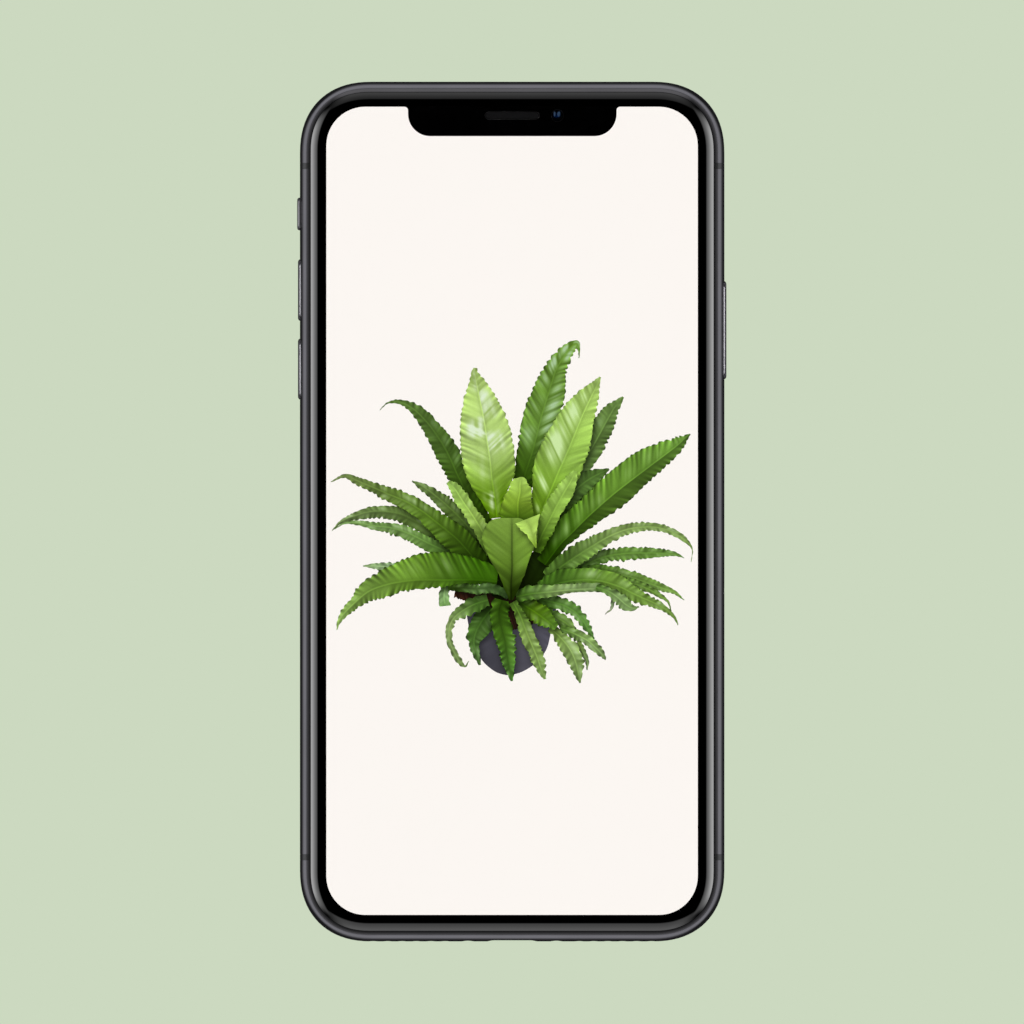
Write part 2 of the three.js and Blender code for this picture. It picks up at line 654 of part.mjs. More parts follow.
add(inside, "right_key_flex", keyFlex(1, [24, 36.6]), finishes.flex);

export default phone;
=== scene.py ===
# %% [markdown]
# # A smartphone with a potted fern on its display
#
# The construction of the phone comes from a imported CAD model, and this script dresses it. The phone
# lies on its back, +X to its right, +Y to its earpiece end and +Z out of the front glass. Each step
# makes one piece or one finish. Shapes are worked out in millimetres and scaled to Blender's metres
# when a piece is finished.

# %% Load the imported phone
import math

import bmesh
import bpy
import numpy as np
from mathutils import Matrix, Vector


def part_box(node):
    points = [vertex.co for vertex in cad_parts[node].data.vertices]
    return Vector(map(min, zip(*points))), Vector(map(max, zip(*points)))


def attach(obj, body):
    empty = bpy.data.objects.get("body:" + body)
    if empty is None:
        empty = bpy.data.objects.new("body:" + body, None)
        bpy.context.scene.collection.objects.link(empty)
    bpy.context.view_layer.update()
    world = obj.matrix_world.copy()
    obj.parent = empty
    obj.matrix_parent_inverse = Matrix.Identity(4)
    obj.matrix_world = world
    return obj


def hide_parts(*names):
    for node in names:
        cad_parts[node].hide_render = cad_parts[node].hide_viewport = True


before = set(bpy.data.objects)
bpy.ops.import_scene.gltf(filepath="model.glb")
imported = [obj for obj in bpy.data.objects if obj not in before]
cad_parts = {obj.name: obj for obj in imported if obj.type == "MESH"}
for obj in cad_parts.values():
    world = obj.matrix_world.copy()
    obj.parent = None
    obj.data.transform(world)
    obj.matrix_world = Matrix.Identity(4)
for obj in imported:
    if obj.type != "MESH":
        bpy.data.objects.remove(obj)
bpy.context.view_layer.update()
MM = 0.001


# %% [markdown]
# ## Sizes taken from the frame
#
# Every fine piece has to sit where its plain solid sits, so its sizes are read from the frame's boxes.
# The few that a box can't tell, such as the curve of a corner, are named here with the values of the
# construction.

# %% Read the boxes in millimetres
def span(node):
    """The lowest and the highest corner of a CAD node, in millimetres."""
    low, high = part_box(node)
    return low / MM, high / MM


def middle(node):
    low, high = span(node)
    return (low + high) / 2


band_low, band_high = span("side_band")
glass_high = span("front_glass")[1]
HALF_WIDTH = band_high.x
HALF_LENGTH = band_high.y
MIDDLE_Z = (band_low.z + band_high.z) / 2
BACK_Z = span("back_glass")[0].z
FRONT_Z = glass_high.z
CORNER_RADIUS = 10.72
CORNER_REACH = 1.12
CORNER_POWER = 2.285
BAND_VIEW = 1.78
BAND_WALL = 2.4
GLASS_THICKNESS = 0.8
GLASS_CURVE_INSET = 4.3
GLASS_EDGE_DROP = 0.5
FRONT_GLASS_Z = FRONT_Z - GLASS_THICKNESS
BACK_GLASS_TOP_Z = BACK_Z + GLASS_THICKNESS
sides = (2 * HALF_WIDTH, 2 * HALF_LENGTH, FRONT_Z - BACK_Z)
print("body", " x ".join(f"{side:.1f}" for side in sides), f"mm, its back at {BACK_Z:.1f}")


# %% [markdown]
# ## Camera, floor and light
#
# The picture looks straight down on the phone from far away, so that both sides of the band show alike.
# A long lens does that. The floor is a flat sage sheet. Polished metal shows nothing but its
# surroundings, so what the phone mirrors is planned like a studio set: two long soft boxes beside it
# give its glass edge a bright line on each side, a fainter one lies past each end, and it is dark
# straight above, so that the glass stays black. The soft boxes are painted on the world by direction,
# which needs no lamps and gives no noise.
#
# Patterns are sums, so a small class lets shader maths be written as plain expressions on the nodes'
# outputs. A second class adds the nodes themselves.

# %% A class for shader maths
class Wire:
    """A node's output. Reckoning with it adds Math nodes, and a plain number stays on its socket."""

    def __init__(self, tree, socket):
        self.tree = tree
        self.socket = socket

    def maths(self, operation, first, second=0.0):
        return self.tree.node("ShaderNodeMath", {"operation": operation}, {0: first, 1: second})

    def __add__(self, other):
        return self.maths("ADD", self, other)

    __radd__ = __add__

    def __sub__(self, other):
        return self.maths("SUBTRACT", self, other)

    def __rsub__(self, other):
        return self.maths("SUBTRACT", other, self)

    def __mul__(self, other):
        return self.maths("MULTIPLY", self, other)

    __rmul__ = __mul__

    def __truediv__(self, other):
        return self.maths("DIVIDE", self, other)

    def __pow__(self, other):
        return self.maths("POWER", self, other)

    def __abs__(self):
        return self.maths("ABSOLUTE", self)

    def sine(self):
        return self.maths("SINE", self)

    def exponential(self):
        return self.maths("EXPONENT", self)

    def at_least(self, limit):
        return self.maths("MAXIMUM", self, limit)

    def over(self, limit):
        """1 where the value is above the limit and 0 elsewhere."""
        return self.maths("GREATER_THAN", self, limit)

    def ramp(self, low, high, start=0.0, end=1.0):
        """Goes smoothly from start to end as the value goes from low to high, and stays within them."""
        settings = {"interpolation_type": "SMOOTHSTEP"}
        ends = {"Value": self, "From Min": low, "From Max": high, "To Min": start, "To Max": end}
        return self.tree.node("ShaderNodeMapRange", settings, ends)

    def parts(self):
        """The three numbers of a vector."""
        split = self.tree.node("ShaderNodeSeparateXYZ", {}, {"Vector": self})
        return [Wire(self.tree, output) for output in split.socket.node.outputs]


def distance(across, along):
    """How far a point is from a centre, from its two sides, as a wire."""
    return (across * across + along * along) ** 0.5


print("maths on a wire adds Math nodes to its tree")


# %% A class for the nodes
class Tree:
    """The node tree of a material or of the world."""

    MIX_COLOURS = (6, 7)
    MIX_RESULT = 2

    def __init__(self, owner):
        owner.use_nodes = True
        self.nodes = owner.node_tree.nodes
        self.links = owner.node_tree.links
        self.nodes.clear()

    def node(self, kind, settings=None, values=None, output=0):
        """Adds a node: its settings first, then the values or the links of its sockets."""
        made = self.nodes.new(kind)
        for name, value in (settings or {}).items():
            if name == "stops":
                self.set_stops(made.color_ramp, value)
            else:
                setattr(made, name, value)
        for name, value in (values or {}).items():
            if isinstance(value, Wire):
                self.links.new(value.socket, made.inputs[name])
            else:
                made.inputs[name].default_value = value
        return Wire(self, made.outputs[output]) if made.outputs else None

    def set_stops(self, ramp, stops):
        while len(ramp.elements) < len(stops):
            ramp.elements.new(0.5)
        for element, (place, colour) in zip(ramp.elements, stops):
            element.position = place
            element.color = (*colour, 1)

    def place(self):
        """The point on the object, in millimetres."""
        point = self.node("ShaderNodeTexCoord", output="Object")
        return self.node("ShaderNodeVectorMath", {"operation": "SCALE"}, {0: point, "Scale": 1 / MM})

    def noise(self, size, stretch=(1, 1, 1), detail=2.0):
        """Cloudy values about 0.5. The clouds have about the given size in millimetres."""
        scale = [share / size for share in stretch]
        moved = self.node("ShaderNodeMapping", {}, {"Vector": self.place(), "Scale": scale})
        return self.node("ShaderNodeTexNoise", {}, {"Vector": moved, "Scale": 1.0, "Detail": detail})

    def bump(self, height, depth):
        """A normal from a height between 0 and 1 that stands for a depth in millimetres."""
        values = {"Height": height, "Distance": depth * MM, "Strength": 1.0}
        return self.node("ShaderNodeBump", {}, values, "Normal")

    def blend(self, factor, *colours):
        """A colour between two, each a wire or (red, green, blue), where the factor goes from 0 to 1."""
        ends = [colour if isinstance(colour, Wire) else (*colour, 1) for colour in colours]
        values = {"Factor": factor, **dict(zip(self.MIX_COLOURS, ends))}
        return self.node("ShaderNodeMix", {"data_type": "RGBA"}, values, self.MIX_RESULT)


print("a tree adds every kind of node by one method,", Tree.node.__name__)


# %% [markdown]
# A colour is easiest to judge as a screen counts it, but light adds up otherwise, and shaders count
# light. So every colour read off a screen is turned into light once, here.

# %% Colours
def eye_to_light(share):
    """A brightness as the eye counts it, 0 to 1, as light."""
    return np.where(share <= 0.04045, share / 12.92, ((share + 0.055) / 1.055) ** 2.4)


def linear(*levels):
    """A colour as the eye counts it, 0 to 255, as light."""
    return tuple(eye_to_light(np.array(levels) / 255).tolist())


def shaded(colour, share):
    return tuple(share * part for part in colour)


print("half grey to the eye is", round(linear(128)[0], 3), "of white's light")


# %% Camera straight above, through a long lens
PICTURE_WIDTH = 170.98
PICTURE_CENTRE = Vector((-0.03, -0.07))
PICTURE_Z = 6.5
LENS = 800
SENSOR = 36
FARTHEST_SEEN = 10

camera = bpy.data.objects.new("camera", bpy.data.cameras.new("camera"))
camera.data.lens = LENS
camera.data.sensor_width = SENSOR
camera_height = PICTURE_WIDTH * LENS / SENSOR
camera.location = Vector((*PICTURE_CENTRE, PICTURE_Z + camera_height)) * MM
camera.data.clip_end = FARTHEST_SEEN
bpy.context.scene.collection.objects.link(camera)
bpy.context.scene.camera = camera
bpy.context.scene.view_settings.view_transform = "Standard"
print(f"the camera is {camera_height / 1000:.2f} m above the glass")


# %% [markdown]
# The floor shows the camera an even sage. What the band mirrors is another matter: photographers ring a
# polished thing with dark cards so that its edge stands out dark. Here the floor itself plays the cards
# for mirrored light, dark close to the phone and pale further off. Seen from below, the floor is clear,
# so that the back can be looked at too.

# %% The floor's finish
SAGE = linear(204, 217, 192)
CARD_REACH = (4.5, 18.0)
CARD_LIGHT = (0.03, 0.68)
CARD_TINT = (0.98, 0.985, 1.03)
FAR_REACH = (40.0, 150.0)
FAR_SHARE = 0.42


def floor_finish():
    material = bpy.data.materials.new("floor_finish")
    tree = Tree(material)
    x, y, _ = tree.place().parts()
    away = distance((abs(x) - HALF_WIDTH).at_least(0.0), (abs(y) - HALF_LENGTH).at_least(0.0))
    mirrored = away.ramp(*CARD_REACH, *CARD_LIGHT) * away.ramp(*FAR_REACH, 1.0, FAR_SHARE)
    card = tree.node("ShaderNodeEmission", {}, {"Color": (*CARD_TINT, 1), "Strength": mirrored})
    shown = tree.node("ShaderNodeEmission", {}, {"Color": (*SAGE, 1), "Strength": 1.0})
    seen = tree.node("ShaderNodeLightPath")
    sheet = tree.node("ShaderNodeMixShader", {}, {"Fac": seen, 1: card, 2: shown})
    clear = tree.node("ShaderNodeBsdfTransparent")
    below = tree.node("ShaderNodeNewGeometry", output="Backfacing")
    passed = tree.node("ShaderNodeLightPath", output="Transparent Depth").over(0.5)
    mixed = tree.node("ShaderNodeMixShader", {}, {"Fac": below.at_least(passed), 1: sheet, 2: clear})
    tree.node("ShaderNodeOutputMaterial", {}, {"Surface": mixed})
    return material


print("the floor mirrors full light from", CARD_REACH[1], "mm beside the phone")


# %% The floor
FLOOR_Z = -0.0001
FLOOR_SIZE = 1.5


def scene_object(mesh, name):
    """Makes an object of the scene from a bmesh, and frees the bmesh."""
    data = bpy.data.meshes.new(name)
    mesh.to_mesh(data)
    mesh.free()
    made = bpy.data.objects.new(name, data)
    bpy.context.scene.collection.objects.link(made)
    return made


floor_mesh = bmesh.new()
bmesh.ops.create_grid(floor_mesh, x_segments=1, y_segments=1, size=FLOOR_SIZE)
floor = scene_object(floor_mesh, "floor")
floor.location.z = FLOOR_Z
floor.data.materials.append(floor_finish())
print("the floor is", 2 * FLOOR_SIZE, "m square")


# %% [markdown]
# The soft boxes are long strips overhead, parallel to the phone's sides. A direction's slope, how far
# it goes sideways for each step up, says where it meets such a strip. The glass edge tilts by 12 to 22
# degrees, so it mirrors slopes of 0.4 to 1, and each strip brightens outwards across them. A glow round
# the horizon reaches the steel that faces sideways, a patch of light lies past the earpiece end, and a
# soft sweep of light from below shows the back.

# %% The soft boxes
STRIPS = {
    "left": {"slopes": (0.5, 0.97), "light": (2.2, 9.0)},
    "right": {"slopes": (0.46, 0.97), "light": (2.0, 9.0)},
    "top": {"slopes": (0.5, 0.97), "light": (0.5, 1.2)},
    "bottom": {"slopes": (0.45, 0.97), "light": (1.3, 2.3)},
}
STRIP_SOFT = 0.05
STRIP_END = 1.15
STRIP_FALL = 0.25
STRIP_LENGTH = (0.2, 0.7)


def strip_light(slope, aside, strip):
    """The light of a strip at a slope. It is brighter outwards, and ends at its edges and its ends."""
    low, high = strip["slopes"]
    inner = slope.ramp(low - STRIP_SOFT, low + STRIP_SOFT)
    outer = slope.ramp(STRIP_END, STRIP_END + STRIP_FALL, 1.0, 0.0)
    return inner * outer * aside.ramp(*STRIP_LENGTH, 1.0, 0.0) * slope.ramp(low, high, *strip["light"])


print("soft boxes:", ", ".join(STRIPS))


# %% The world
HORIZON_LIGHT = 0.3
HORIZON_FALL = 5.7
TOP_HORIZON = 0.42
FAR_END = {"along": (0.75, 0.95), "up": (0.26, 0.42)}
UNDER_FADE = (-0.2, 0.0)
UNDER_LIGHT = (0.25, 1.1)
UNDER_SWEEP = (-0.9, 0.9)
LEAST_UP = 0.02


def studio():
    world = bpy.data.worlds.new("studio")
    tree = Tree(world)
    direction = tree.node("ShaderNodeTexCoord", output="Generated")
    x, y, z = direction.parts()
    up = z.at_least(LEAST_UP)
    across = x / up
    along = y / up
    slopes = {
        "left": (across * -1, along),
        "right": (across, along),
        "top": (along, across),
        "bottom": (along * -1, across),
    }
    strips = 0.0
    for name, (slope, aside) in slopes.items():
        strips = strips + strip_light(slope, abs(aside), STRIPS[name])
    horizon = HORIZON_LIGHT * (z * -HORIZON_FALL).exponential()
    far_end = y.ramp(*FAR_END["along"]) * z.ramp(*FAR_END["up"], TOP_HORIZON, 0.0)
    above = (strips + horizon.at_least(far_end)) * z.over(0.0)
    total = above + z.ramp(*UNDER_FADE, 1.0, 0.0) * (x + y).ramp(*UNDER_SWEEP, *UNDER_LIGHT)
    path = tree.node("ShaderNodeLightPath")
    shown = tree.node("ShaderNodeBackground", {}, {"Color": (*SAGE, 1), "Strength": 1.0})
    light = tree.node("ShaderNodeBackground", {}, {"Color": (1, 1, 1, 1), "Strength": total})
    mixed = tree.node("ShaderNodeMixShader", {}, {"Fac": path, 1: light, 2: shown})
    tree.node("ShaderNodeOutputWorld", {}, {"Surface": mixed})
    bpy.context.scene.world = world


studio()
print("the world's light is painted on by direction")


# %% [markdown]
# ## Helpers for shapes
#
# Most of the phone follows one outline with soft, slightly squarish corners. The maths for it is a
# superellipse: a circle whose square is replaced by another power. A piece that follows the outline is
# made as a sheet: a plain grid of faces whose every point is put in its place, then closed where its
# ends meet. The grid operator gives even quads, which bend light smoothly.

# %% The outline
CORNER_STEPS = 20


def outline(inset):
    """Points round the body's outline drawn in by an inset, anticlockwise from the right."""
    reach = CORNER_REACH * (CORNER_RADIUS - inset)
    centre = Vector((HALF_WIDTH - inset - reach, HALF_LENGTH - inset - reach))
    quarter = []
    for step in range(CORNER_STEPS + 1):
        angle = math.pi / 2 * step / CORNER_STEPS
        shares = (max(math.cos(angle), 0), max(math.sin(angle), 0))
        quarter.append(centre + Vector([reach * share ** (2 / CORNER_POWER) for share in shares]))
    points = []
    for flip_x, flip_y in ((1, 1), (-1, 1), (-1, -1), (1, -1)):
        part = quarter if flip_x * flip_y > 0 else quarter[::-1]
        points += [Vector((flip_x * x, flip_y * y)) for x, y in part]
    return points


print("the outline has", len(outline(0)), "points")


# %% Sheets that follow the outline
CLOSE = 1e-4


def sheet_mesh(rows):
    """A bmesh sheet through rows of points. All rows have the same count of points."""
    mesh = bmesh.new()
    across = len(rows[0]) - 1
    along = len(rows) - 1
    bmesh.ops.create_grid(mesh, x_segments=across, y_segments=along, size=0.5)
    for vertex in mesh.verts:
        column = round((vertex.co.x + 0.5) * across)
        row = round((vertex.co.y + 0.5) * along)
        vertex.co = rows[row][column]
    return mesh


def weld(mesh):
    bmesh.ops.remove_doubles(mesh, verts=mesh.verts, dist=CLOSE)
    bmesh.ops.recalc_face_normals(mesh, faces=mesh.faces)
    return mesh


def ring_mesh(levels, closed=False):
    """A body round the outline through levels of (inset, z): a plate, or a ring if it is closed."""
    rows = []
    for inset, z in levels + (levels[:1] if closed else []):
        points = outline(inset)
        rows.append([Vector((*point, z)) for point in points + points[:1]])
    mesh = weld(sheet_mesh(rows))
    if not closed:
        ends = [edge for edge in mesh.edges if edge.is_boundary]
        bmesh.ops.holes_fill(mesh, edges=ends)
        bmesh.ops.recalc_face_normals(mesh, faces=mesh.faces)
    return mesh


print("points closer than", CLOSE, "mm are merged")


# %% Finish a bmesh as an object
SHARP = math.radians(32)


def finish(mesh, name, body, material, replaces=()):
    """Makes the object: in metres, smooth but for sharp edges, riding on a body."""
    for face in mesh.faces:
        face.smooth = True
    for edge in mesh.edges:
        if len(edge.link_faces) == 2:
            edge.smooth = edge.calc_face_angle(0) < SHARP
    bmesh.ops.scale(mesh, vec=(MM, MM, MM), verts=mesh.verts)
    piece = scene_object(mesh, name)
    piece.data.materials.append(material)
    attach(piece, body)
    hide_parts(*replaces)
    return piece


print("edges sharper than", round(math.degrees(SHARP)), "degrees stay sharp")


# %% Cut one bmesh with others
def boolean(mesh, tool, operation="DIFFERENCE"):
    """Cuts a closed bmesh with another, and gives the result back as a bmesh."""
    target = scene_object(mesh, "target")
    cutter = scene_object(tool, "cutter")
    modifier = target.modifiers.new("cut", "BOOLEAN")
    modifier.operation = operation
    modifier.solver = "EXACT"
    modifier.object = cutter
    graph = bpy.context.evaluated_depsgraph_get()
    result = bmesh.new()
    result.from_mesh(target.evaluated_get(graph).to_mesh())
    for used in (target, cutter):
        data = used.data
        bpy.data.objects.remove(used)
        bpy.data.meshes.remove(data)
    return result


def together(*meshes):
    """One bmesh that holds several, which stay apart from each other."""
    data = bpy.data.meshes.new("together")
    result = bmesh.new()
    for mesh in meshes:
        mesh.to_mesh(data)
        result.from_mesh(data)
        mesh.free()
    bpy.data.meshes.remove(data)
    return result


print("several cutters go through one boolean together")


# %% [markdown]
# Keys, slots and the card tray are bars with round ends. Such a bar is a capsule outline, made from a
# circle whose two halves are drawn apart, pushed out to its depth and bevelled along its rim.

# %% Flat faces, and solids raised from them
def capsule(length, width, segments=32):
    """A flat face in XY with round ends, its length along Y."""
    mesh = bmesh.new()
    bmesh.ops.create_circle(mesh, cap_ends=True, segments=segments, radius=width / 2)
    for vertex in mesh.verts:
        # a vertex on the middle line goes with the upper half
        vertex.co.y += math.copysign((length - width) / 2, vertex.co.y + CLOSE / 100)
    return mesh


def raise_face(mesh, height):
    """Pushes a flat mesh up to a closed solid of that height."""
    faces = bmesh.ops.extrude_face_region(mesh, geom=mesh.faces[:])["geom"]
    moved = [part for part in faces if isinstance(part, bmesh.types.BMVert)]
    bmesh.ops.translate(mesh, vec=(0, 0, height), verts=moved)
    bmesh.ops.recalc_face_normals(mesh, faces=mesh.faces)
    return mesh


def top_face(mesh):
    return max(mesh.faces, key=lambda face: face.calc_center_median().z)


example = capsule(10, 4)
print("a capsule of 10 x 4 mm has", len(example.verts), "corners")
example.free()


# %% Round the edges of a form, and turn it
def rounded(mesh, parts, offset, segments, affect="EDGES"):
    """Rounds some edges, or single vertices, with an arc."""
    options = {"offset_type": "OFFSET", "profile": 0.5, "affect": affect, "material": -1}
    bmesh.ops.bevel(mesh, geom=parts, offset=offset, segments=segments, **options)
    return mesh


def bevel_rim(mesh, height, offset, segments):
    """Rounds the sharp edges that lie at a height."""
    level = [edge for edge in mesh.edges if all(abs(end.co.z - height) < CLOSE for end in edge.verts)]
    rim = [edge for edge in level if edge.calc_face_angle(0) > SHARP]
    return rounded(mesh, rim, offset, segments)


def upright_edges(mesh):
    return [edge for edge in mesh.edges if abs(edge.verts[0].co.z - edge.verts[1].co.z) > CLOSE]


def turned(mesh, *steps):
    """Turns by (degrees, axis) steps about the origin, and moves by vectors."""
    for step in steps:
        if isinstance(step, Vector):
            bmesh.ops.translate(mesh, vec=step, verts=mesh.verts)
        else:
            degrees, axis = step
            matrix = Matrix.Rotation(math.radians(degrees), 3, axis)
            bmesh.ops.rotate(mesh, cent=(0, 0, 0), matrix=matrix, verts=mesh.verts)
    return mesh


print("a rim is rounded where it bends by more than", round(math.degrees(SHARP)), "degrees")


# %% Bars, rods and boxes that point along an axis
def disc_mesh(radius, low, high, x=0, y=0, segments=48):
    """A round disc or rod along Z."""
    mesh = bmesh.new()
    bmesh.ops.create_circle(mesh, cap_ends=True, segments=segments, radius=radius)
    return turned(raise_face(mesh, high - low), Vector((x, y, low)))


def rod_mesh(radius, x, z, low_y, high_y, segments=24):
    """A round rod along Y."""
    rod = disc_mesh(radius, 0, high_y - low_y, segments=segments)
    return turned(rod, (-90, "X"), Vector((x, low_y, z)))


def side_bar(length, width, low_x, high_x, y, z):
    """A bar with round ends that points along X."""
    mesh = raise_face(capsule(length, width), high_x - low_x)
    return turned(mesh, (90, "Y"), Vector((low_x, y, z)))


def end_bar(length, width, low_y, high_y, z):
    """A bar with round ends that points along Y, its length along X."""
    mesh = raise_face(capsule(length, width), high_y - low_y)
    return turned(mesh, (90, "Z"), (-90, "X"), Vector((0, low_y, z)))


def box_mesh(low, high):
    mesh = bmesh.new()
    bmesh.ops.create_cube(mesh, size=1)
    size = Vector(high) - Vector(low)
    bmesh.ops.scale(mesh, vec=size, verts=mesh.verts)
    bmesh.ops.translate(mesh, vec=(Vector(high) + Vector(low)) / 2, verts=mesh.verts)
    return mesh


print("bars can point along X, Y and Z")


# %% [markdown]
# ## Finishes
#
# The band is steel with a dark vapour-deposited coat, polished until it mirrors, so it is a metal with
# a low roughness and a faint bluish grey. Fingers leave a thin uneven film on it, which is noise in the
# roughness, and the polish leaves lines along it too fine to see one by one, which is a very shallow
# stretched bump. A key's colour is darkened at its foot, where it goes into the narrow gap of its
# opening: painted shade for the little light that gets in there.

# %% A material with one shader
def socket_name(key):
    return key.replace("_", " ").title().replace("Ior", "IOR")


def principled(name, **settings):
    """A material with one Principled shader, and its tree to add what varies."""
    material = bpy.data.materials.new(name)
    tree = Tree(material)
    values = {socket_name(key): value for key, value in settings.items()}
    shader = tree.node("ShaderNodeBsdfPrincipled", {}, values)
    tree.node("ShaderNodeOutputMaterial", {}, {"Surface": shader})
    return material, tree, shader.socket.node.inputs


def feed(tree, inputs, **wires):
    for key, wire in wires.items():
        tree.links.new(wire.socket, inputs[socket_name(key)])


print("a setting named base_color goes to the socket", socket_name("base_color"))


# %% Polished steel
CLOUDS = (0.3, 0.7)
FILM_SIZE = 9.0
POLISH = {"size": 0.05, "stretch": (1, 1, 0.02), "detail": 3.0}
POLISH_DEPTH = 0.0004


def uneven_by(roughness):
    """The least and the greatest roughness of a surface that varies a little."""
    return roughness * 0.85, min(roughness * 1.15, 1)


def steel_finish(name, colour, roughness, foot=None):
    """Steel with painted shade below its foot, a range of distances from the phone's middle line."""
    material, tree, inputs = principled(name, metallic=1.0)
    film = tree.noise(FILM_SIZE)
    base = tree.blend(film.ramp(*CLOUDS), colour, shaded(colour, 0.92))
    if foot:
        across, _, _ = tree.place().parts()
        # painted shade: the colour darkens towards the foot, where little light gets in
        base = tree.blend(abs(across).ramp(*foot), shaded(colour, 0.1), base)
    lines = tree.bump(tree.noise(**POLISH), POLISH_DEPTH)
    feed(tree, inputs, base_color=base, roughness=film.ramp(*CLOUDS, *uneven_by(roughness)), normal=lines)
    return material


BAND_COLOUR = (0.24, 0.235, 0.25)
KEY_COLOUR = (0.16, 0.157, 0.168)
# where painted shade darkens a key's steel, by distance from the middle line
KEY_PAINTED_SHADE = (HALF_WIDTH - 0.35, HALF_WIDTH - 0.05)
band_steel = steel_finish("band_steel", BAND_COLOUR, 0.11)
key_steel = steel_finish("key_steel", KEY_COLOUR, 0.3, KEY_PAINTED_SHADE)
screw_steel = steel_finish("screw_steel", KEY_COLOUR, 0.3)
print("steel finishes made")


# %% [markdown]
# The antenna lines are dark moulded plastic, matt beside the steel. The grain of moulded plastic is
# fine and even, so its bump is small noise. The same finish in other colours serves the gasket and the
# inner modules.

# %% Moulded plastic
def plastic_finish(name, colour, roughness, grain=0.15, depth=0.004, ior=1.5):
    material, tree, inputs = principled(name, ior=ior)
    cloud = tree.noise(grain)
    base = tree.blend(cloud, shaded(colour, 0.8), shaded(colour, 1.2))
    rough = cloud.ramp(*CLOUDS, *uneven_by(roughness))
    feed(tree, inputs, base_color=base, roughness=rough, normal=tree.bump(cloud, depth))
    return material


band_plastic = plastic_finish("band_plastic", (0.01, 0.0105, 0.0105), 0.12, 0.1, 0.0005, 1.75)
module_plastic = plastic_finish("module_plastic", (0.012, 0.012, 0.014), 0.35)
print("plastic finishes made")


# %% [markdown]
# The front glass is clear, and the black round the display is printed on its underside. A second sheet
# just inside the glass plays that print, so light never passes between print and glass, as on a
# laminated one. Over the print the glass gets a black body, which looks the same. All light rays then
# go to what the curved rim mirrors, and its bright line comes out smooth.

# %% Clear glass
WHITE = (1, 1, 1)
BLACK = (0, 0, 0)
GLASS_IOR = 1.5
CLEAR_HALF = (31.2, 67.7)
CLEAR_ROUND = 6.6


def clear_glass(name, roughness=0.0, tint=WHITE):
    settings = {"transmission_weight": 1.0, "ior": GLASS_IOR, "base_color": (*tint, 1)}
    material, tree, inputs = principled(name, **settings)
    smear = tree.noise(14.0)
    feed(tree, inputs, roughness=smear.ramp(0.45, 0.8, roughness, roughness + 0.004))
    return material, tree, inputs


def screen_glass():
    """Clear over the display, black over the print."""
    material, tree, inputs = clear_glass("front_glass")
    x, y, _ = tree.place().parts()
    across, along = (abs(way) - (half - CLEAR_ROUND) for way, half in zip((x, y), CLEAR_HALF))
    printed = distance(across.at_least(0.0), along.at_least(0.0)).over(CLEAR_ROUND)
    feed(tree, inputs, base_color=tree.blend(printed, WHITE, BLACK))
    return material


front_clear = screen_glass()
print("the front glass is clear over", 2 * CLEAR_HALF[0], "x", 2 * CLEAR_HALF[1], "mm")


# %% Print and the dark back
def print_finish():
    material, tree, inputs = principled("black_print", specular_ior_level=0.0)
    cloud = tree.noise(0.2)
    ink = tree.blend(cloud, (0.0004, 0.0004, 0.0005), (0.0008, 0.0008, 0.0009))
    feed(tree, inputs, base_color=ink, roughness=cloud.ramp(0, 1, 0.6, 0.9))
    return material


def back_finish():
    material, tree, inputs = principled("back_glass", ior=GLASS_IOR, coat_weight=0.6, coat_roughness=0.02)
    cloud = tree.noise(0.08)
    smear = tree.noise(18.0)
    colour = tree.blend(cloud, (0.022, 0.023, 0.026), (0.03, 0.031, 0.034))
    feed(tree, inputs, base_color=colour, roughness=smear.ramp(0.35, 0.7, 0.12, 0.2))
    return material


black_print = print_finish()
back_dark = back_finish()
print("print and back finishes made")


# %% [markdown]
# ## The side band
#
# The band is one ring whose section is an arc outside, with a ledge at each rim where a glass sits.
# Following that section round the outline gives it in one sheet. The openings for the keys, the tray,
# the port, the screws and the sound holes are then cut, which is how the real one is milled. The port's
# opening is narrow at its mouth and wide behind, so that a lip of the band covers the rim of the port's
# shell.

# %% The section of the band
ARC_RISE = MIDDLE_Z - band_low.z
ARC_RADIUS = (ARC_RISE**2 + BAND_VIEW**2) / (2 * BAND_VIEW)
ARC_STEPS = 48
LIP_ROUND = 0.04


def band_levels():
    reach = math.asin((ARC_RISE - LIP_ROUND) / ARC_RADIUS)
    arc = []
    for step in range(ARC_STEPS + 1):
        angle = reach * (1 - 2 * step / ARC_STEPS)
        arc.append((ARC_RADIUS * (1 - math.cos(angle)), MIDDLE_Z + ARC_RADIUS * math.sin(angle)))
    back = [(BAND_VIEW, BACK_Z + (FRONT_Z - band_high.z)), (BAND_VIEW, BACK_GLASS_TOP_Z)]
    inside = [(BAND_WALL, BACK_GLASS_TOP_Z), (BAND_WALL, FRONT_GLASS_Z)]
    front = [(BAND_VIEW, FRONT_GLASS_Z), (BAND_VIEW, band_high.z)]
    return arc + back + inside + front


print("the band's section has", len(band_levels()), "points")


# %% Sizes of the openings
CUT_PAST = 1.0
KEY_GAP = 0.08
SIDE_PIECES = {
    "side_button": (16.5, 2.6),
    "volume_up_button": (10.4, 2.6),
    "volume_down_button": (10.3, 2.6),
    "ring_switch": (5.46, 2.54),
    "sim_tray": (15.6, 2.1),
}
PORT_WALL = 0.3
PORT_GAP = 0.05
PORT_LIP_Y = -HALF_LENGTH + 0.5
port_low, port_high = span("port_shell")
port_size = port_high - port_low
SCREW_X = middle("bottom_screw_right").x
SCREW_HEAD = 0.95
SOUND_HOLE = {"first": 11.2, "pitch": 2.4, "count": 6, "radius": 0.75}
LINE_HEIGHTS = [middle(node).y for node in ("antenna_line_right_upper", "antenna_line_right_lower")]
LINE_WIDTH = 1.0
END_Y = -HALF_LENGTH - CUT_PAST
print("sound holes on each side of the port:", SOUND_HOLE["count"])


